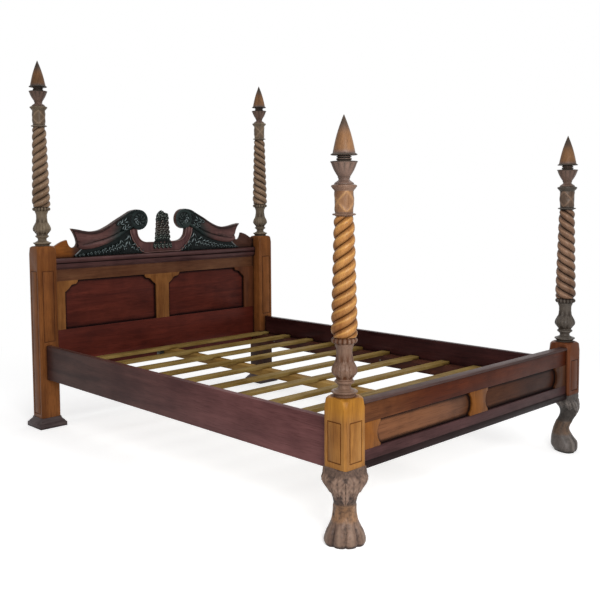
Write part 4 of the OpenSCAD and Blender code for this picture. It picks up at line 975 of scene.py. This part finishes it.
# one acanthus leaf 1 high, growing along +Z from the origin, its tip curled forward
def buildLeaf(name):
    lobes = leafLook["lobes"]

    def place(u, v):
        across = 2 * u - 1
        notch = 1 - 0.22 * abs(math.sin(lobes * math.pi * v))
        half = math.sin(math.pi * min(1, 0.1 + 0.86 * v)) ** 0.5 * notch
        ribs = abs(math.sin(math.pi * lobes * (v + 0.35 * abs(across))))
        curl = hump(v, 0.84, 0.14)
        rise = (1 - across ** 2) * (0.5 + 0.5 * curl) + 0.3 * curl
        rise -= 0.3 * hump(across, 0, 0.15) + 0.2 * ribs
        deep = min(1, ribs * ribs + 0.9 * hump(across, 0, 0.16) + max(0, 0.9 - 2 * v))
        # a painted highlight along each side of the leaf
        bright = (1 - ribs) ** 1.3 * hump(abs(across), 0.45, 0.3) * between(0.25, 0.6, v)
        return 0.5 * half * across, -0.3 * rise, v, deep - 1.5 * bright

    obj = gridPiece(name, leafLook["columns"], leafLook["rows"], place, closed=False)
    applyModifier(obj, "SOLIDIFY", thickness=leafLook["thick"], offset=-1)
    smoothShade(obj, 60)
    return obj


leafMaster = buildLeaf("leafMaster")


def setLeaf(name, x, z, length, width, lean, y, depth=30, tone=0):
    size = Matrix.Diagonal((width * mm, depth * mm, length * mm, 1))
    spot = Matrix.Translation((x * mm, y * mm, (railTop + z) * mm))
    leaf = copyPiece(leafMaster, name, spot @ Matrix.Rotation(math.radians(lean), 4, "Y") @ size)
    leaf.data.attributes["tone"].data.foreach_set("value", [tone] * len(leaf.data.vertices))
    return leaf


# leaves as x, z above the rail, length, width and lean from upright away from the middle: those of the
# field between band and saddle, and those on the swan neck, which lie flatter
foliage = {
    "field": [(238, 10, 104, 54, -4), (214, 8, 62, 40, -24), (262, 8, 84, 44, 18), (186, 6, 44, 30, -40),
              (160, 4, 30, 24, -58), (284, 8, 66, 40, 28), (250, 6, 50, 40, 6), (306, 6, 66, 36, 34),
              (330, 8, 52, 34, 40), (354, 6, 54, 32, 46), (378, 8, 42, 30, 48), (402, 6, 44, 28, 56),
              (426, 7, 36, 26, 58), (450, 6, 38, 24, 64), (474, 6, 32, 22, 66), (498, 5, 36, 20, 72),
              (522, 5, 34, 18, 78), (548, 5, 30, 14, 82)],
    "neck": [(204, 214, 96, 46, 116), (196, 186, 84, 36, 124), (228, 176, 60, 26, 122),
             (262, 196, 56, 26, 118)],
}
endBead = {"line": [(520, 52), (531, 44), (542, 34), (560, 19), (575, 8)], "radius": 3.2,
           "columns": 16, "rows": 32}
ground = {"foot": (150, 555), "low": 3, "out": 1.2, "columns": 40, "rows": 16}


# the bead where the foliage ends against the shoulder, with a painted highlight all along it
def buildEndBead(name):
    line = curvePoints(endBead["line"], 8)

    def place(u, v):
        spot = onLine(line, v)
        ahead = (onLine(line, min(1, v + 0.02)) - onLine(line, max(0, v - 0.02))).normalized()
        angle, r = 2 * math.pi * u, endBead["radius"] * math.sin(math.pi * max(0.02, v)) ** 0.4
        aside, out = r * math.cos(angle), 1 + r * math.sin(angle)
        return (*onBoard(spot.x - ahead.y * aside, spot.y + ahead.x * aside, out), -0.5, 1)

    return gridPiece(name, endBead["columns"], endBead["rows"], place, filled=True)


# the dark ground under the foliage, painted darker still as the shade deep in the carving
def buildGround(name):
    foot = curvePoints(band["foot"], 12)
    near, far = ground["foot"]

    def place(u, v):
        spot = onLine(foot, 0.92 * u).lerp(Vector((near + (far - near) * u, ground["low"])), v)
        out = 0 if u in (0, 1) or v in (0, 1) else ground["out"]
        return (*onBoard(spot.x, spot.y, out), 0.75)

    return gridPiece(name, ground["columns"], ground["rows"], place, closed=False, filled=True)


def sidePieces(side):
    parts = [buildBand("band"), buildVolute("volute"), buildGround("ground")]
    for i, leaf in enumerate(foliage["field"]):
        parts.append(setLeaf("leaf", *leaf, faceY - 1, 34 + 5 * (i % 3)))
    for leaf in foliage["neck"]:
        parts.append(setLeaf("leaf", *leaf, faceY - 10, 22))
    parts.append(buildEndBead("fieldEnd"))
    whole = joinPieces(parts, "scroll_" + side + ".carved")
    if side == "left":
        whole.data.transform(Matrix.Scale(-1, 4, (1, 0, 0)))
        whole.data.flip_normals()
    smoothShade(whole, 50)
    return finishPiece(whole, wood["scrollWood"], "ebonised_wood", "scroll_" + side)


for side in ("left", "right"):
    sidePieces(side)
finishPiece(buildSaddle("saddle_band"), wood["saddleWood"], "red_wood")

# the ornament: a mound with rows of leaves, tips over its top and petals over the saddle's band. A row has
# its rise, count, spread, length and fan, a tip its x, z, length and lean, the edge heights and half widths
crest = {"saddle": 64, "front": 6, "thick": 12, "columns": 60, "rows": 60,
         "leafRows": [(2, 4, 70, 44, 14), (28, 4, 68, 46, 10), (56, 4, 64, 44, 9), (84, 3, 58, 44, 9),
                      (112, 3, 56, 44, 10), (134, 3, 48, 38, 12)],
         "tips": [(-6, 200, 49, -3), (18, 196, 38, 8), (-22, 190, 36, -12)], "petals": 5, "petalStep": 25,
         "edge": [(182, 4), (178, 14), (168, 24), (155, 30), (141, 33), (124, 35), (83, 38), (28, 42),
                  (0, 42)]}


def buildMound(name):
    top = crest["edge"][0][0]

    def place(u, v):
        angle, z = 2 * math.pi * u, top * v
        half = alongRows(crest["edge"], z)
        deep = crest["front"] + 5 if math.sin(angle) > 0 else crest["thick"]
        out = deep * squared(math.sin(angle), 0.6) - 2
        # the mound is painted half dark, as the shade between the leaves
        return (*onBoard(half * math.cos(angle), crest["saddle"] + z, out), 0.5)

    return gridPiece(name, crest["columns"], crest["rows"], place, filled=True)


def buildCrest():
    parts = [buildMound("mound")]
    foot, front = crest["saddle"], faceY - crest["front"]
    for rise, count, spread, length, fan in crest["leafRows"]:
        tone = 0.9 * between(10, 40, rise) * between(120, 90, rise)
        for i in range(count):
            share = i / (count - 1) - 0.5
            x, z = spread * share, foot + rise - 8 * abs(share)
            parts.append(setLeaf("crestLeaf", x, z, length, 34, 2 * fan * share, front - 2, 36, tone))
    for x, z, length, lean in crest["tips"]:
        parts.append(setLeaf("crestTip", x, z, length, 28, lean, front - 2, 40))
    for i in range(crest["petals"]):
        off = i - (crest["petals"] - 1) / 2
        x, lean = crest["petalStep"] * off, 180 - 4 * off
        parts.append(setLeaf("petal", x, foot + 6, 46, 28, lean, front - 3, 34))
    ornament = joinPieces(parts, "crest_ornament.carved")
    smoothShade(ornament, 50)
    return finishPiece(ornament, wood["ebonisedWood"], "ebonised_wood", "crest_ornament")


buildCrest()
bpy.data.objects.remove(leafMaster)
print("pediment carved")


# floor, world and lamps

# 1 for what the camera, mirrors and glass see, 0 for the light on the bed
def seenShare(tree):
    path = addNode(tree, "ShaderNodeLightPath")
    both = addNode(tree, "ShaderNodeMath", operation="MAXIMUM")
    wire(tree, path, "Is Camera Ray", both, 0)
    wire(tree, path, "Is Glossy Ray", both, 1)
    seen = addNode(tree, "ShaderNodeMath", operation="MAXIMUM")
    wire(tree, both, 0, seen, 0)
    wire(tree, path, "Is Transmission Ray", seen, 1)
    return seen


# the floor takes the bed's shadow near it and is plain white further out
floorLook = {"size": 60, "colour": 0.86, "rough": 0.9, "gloss": 0.1, "lift": 0.52,
             "whiteFrom": 1.5, "whiteTo": 3.4}


def addFloor():
    deselectAll()
    bpy.ops.mesh.primitive_plane_add(size=floorLook["size"], location=(0, 0, 0))
    floor = bpy.context.object
    floor.name = "studioFloor"
    mat, tree, shader = startMaterial("studioFloor")
    shader.inputs["Base Color"].default_value = (floorLook["colour"],) * 3 + (1,)
    shader.inputs["Roughness"].default_value = floorLook["rough"]
    shader.inputs["Specular IOR Level"].default_value = floorLook["gloss"]
    seen = seenShare(tree)
    coord = addNode(tree, "ShaderNodeTexCoord")
    reach = addNode(tree, "ShaderNodeVectorMath", operation="LENGTH")
    wire(tree, coord, "Object", reach, 0)
    ends = {"From Min": floorLook["whiteFrom"], "From Max": floorLook["whiteTo"]}
    far = addNode(tree, "ShaderNodeMapRange", ends, interpolation_type="SMOOTHSTEP")
    wire(tree, reach, "Value", far, "Value")
    white = addNode(tree, "ShaderNodeEmission")
    lift = addNode(tree, "ShaderNodeEmission")
    nearSeen = addNode(tree, "ShaderNodeMath", {1: floorLook["lift"]}, operation="MULTIPLY")
    wire(tree, seen, 0, nearSeen, 0)
    wire(tree, nearSeen, 0, lift, "Strength")
    near = addNode(tree, "ShaderNodeAddShader")
    wire(tree, shader, "BSDF", near, 0)
    wire(tree, lift, 0, near, 1)
    farSeen = addNode(tree, "ShaderNodeMath", operation="MULTIPLY")
    wire(tree, seen, 0, farSeen, 0)
    wire(tree, far, "Result", farSeen, 1)
    mix = addNode(tree, "ShaderNodeMixShader")
    wire(tree, farSeen, 0, mix, 0)
    wire(tree, near, 0, mix, 1)
    wire(tree, white, 0, mix, 2)
    wire(tree, mix, 0, tree.nodes["Material Output"], "Surface")
    floor.data.materials.append(mat)


def setWorld(strength):
    world = bpy.data.worlds.new("studio")
    bpy.context.scene.world = world
    world.use_nodes = True
    tree = world.node_tree
    ambient = tree.nodes["Background"]
    ambient.inputs["Color"].default_value = (1, 1, 1, 1)
    ambient.inputs["Strength"].default_value = strength
    white = addNode(tree, "ShaderNodeBackground", {"Color": (1, 1, 1, 1)})
    mix = addNode(tree, "ShaderNodeMixShader")
    wire(tree, seenShare(tree), 0, mix, 0)
    wire(tree, ambient, 0, mix, 1)
    wire(tree, white, 0, mix, 2)
    wire(tree, mix, 0, tree.nodes["World Output"], "Surface")


worldStrength = 0.32
lamps = [
    {"name": "keySoftbox", "place": (-2.1, -3.4, 1.9), "aim": (-0.3, -0.4, 0.7), "size": 1.6, "power": 100},
    {"name": "topSoftbox", "place": (0.6, 0.2, 4.2), "aim": (0, 0, 0.3), "size": 3.2, "power": 60},
]


def addLamp(lamp):
    bpy.ops.object.light_add(type="AREA", location=lamp["place"])
    light = bpy.context.object
    light.name = lamp["name"]
    light.data.size = lamp["size"]
    light.data.energy = lamp["power"]
    toAim = Vector(lamp["aim"]) - Vector(lamp["place"])
    light.rotation_euler = toAim.to_track_quat("-Z", "Y").to_euler()


addFloor()
setWorld(worldStrength)
for lamp in lamps:
    addLamp(lamp)
bpy.context.scene.view_settings.view_transform = "Standard"
print("studio lit")
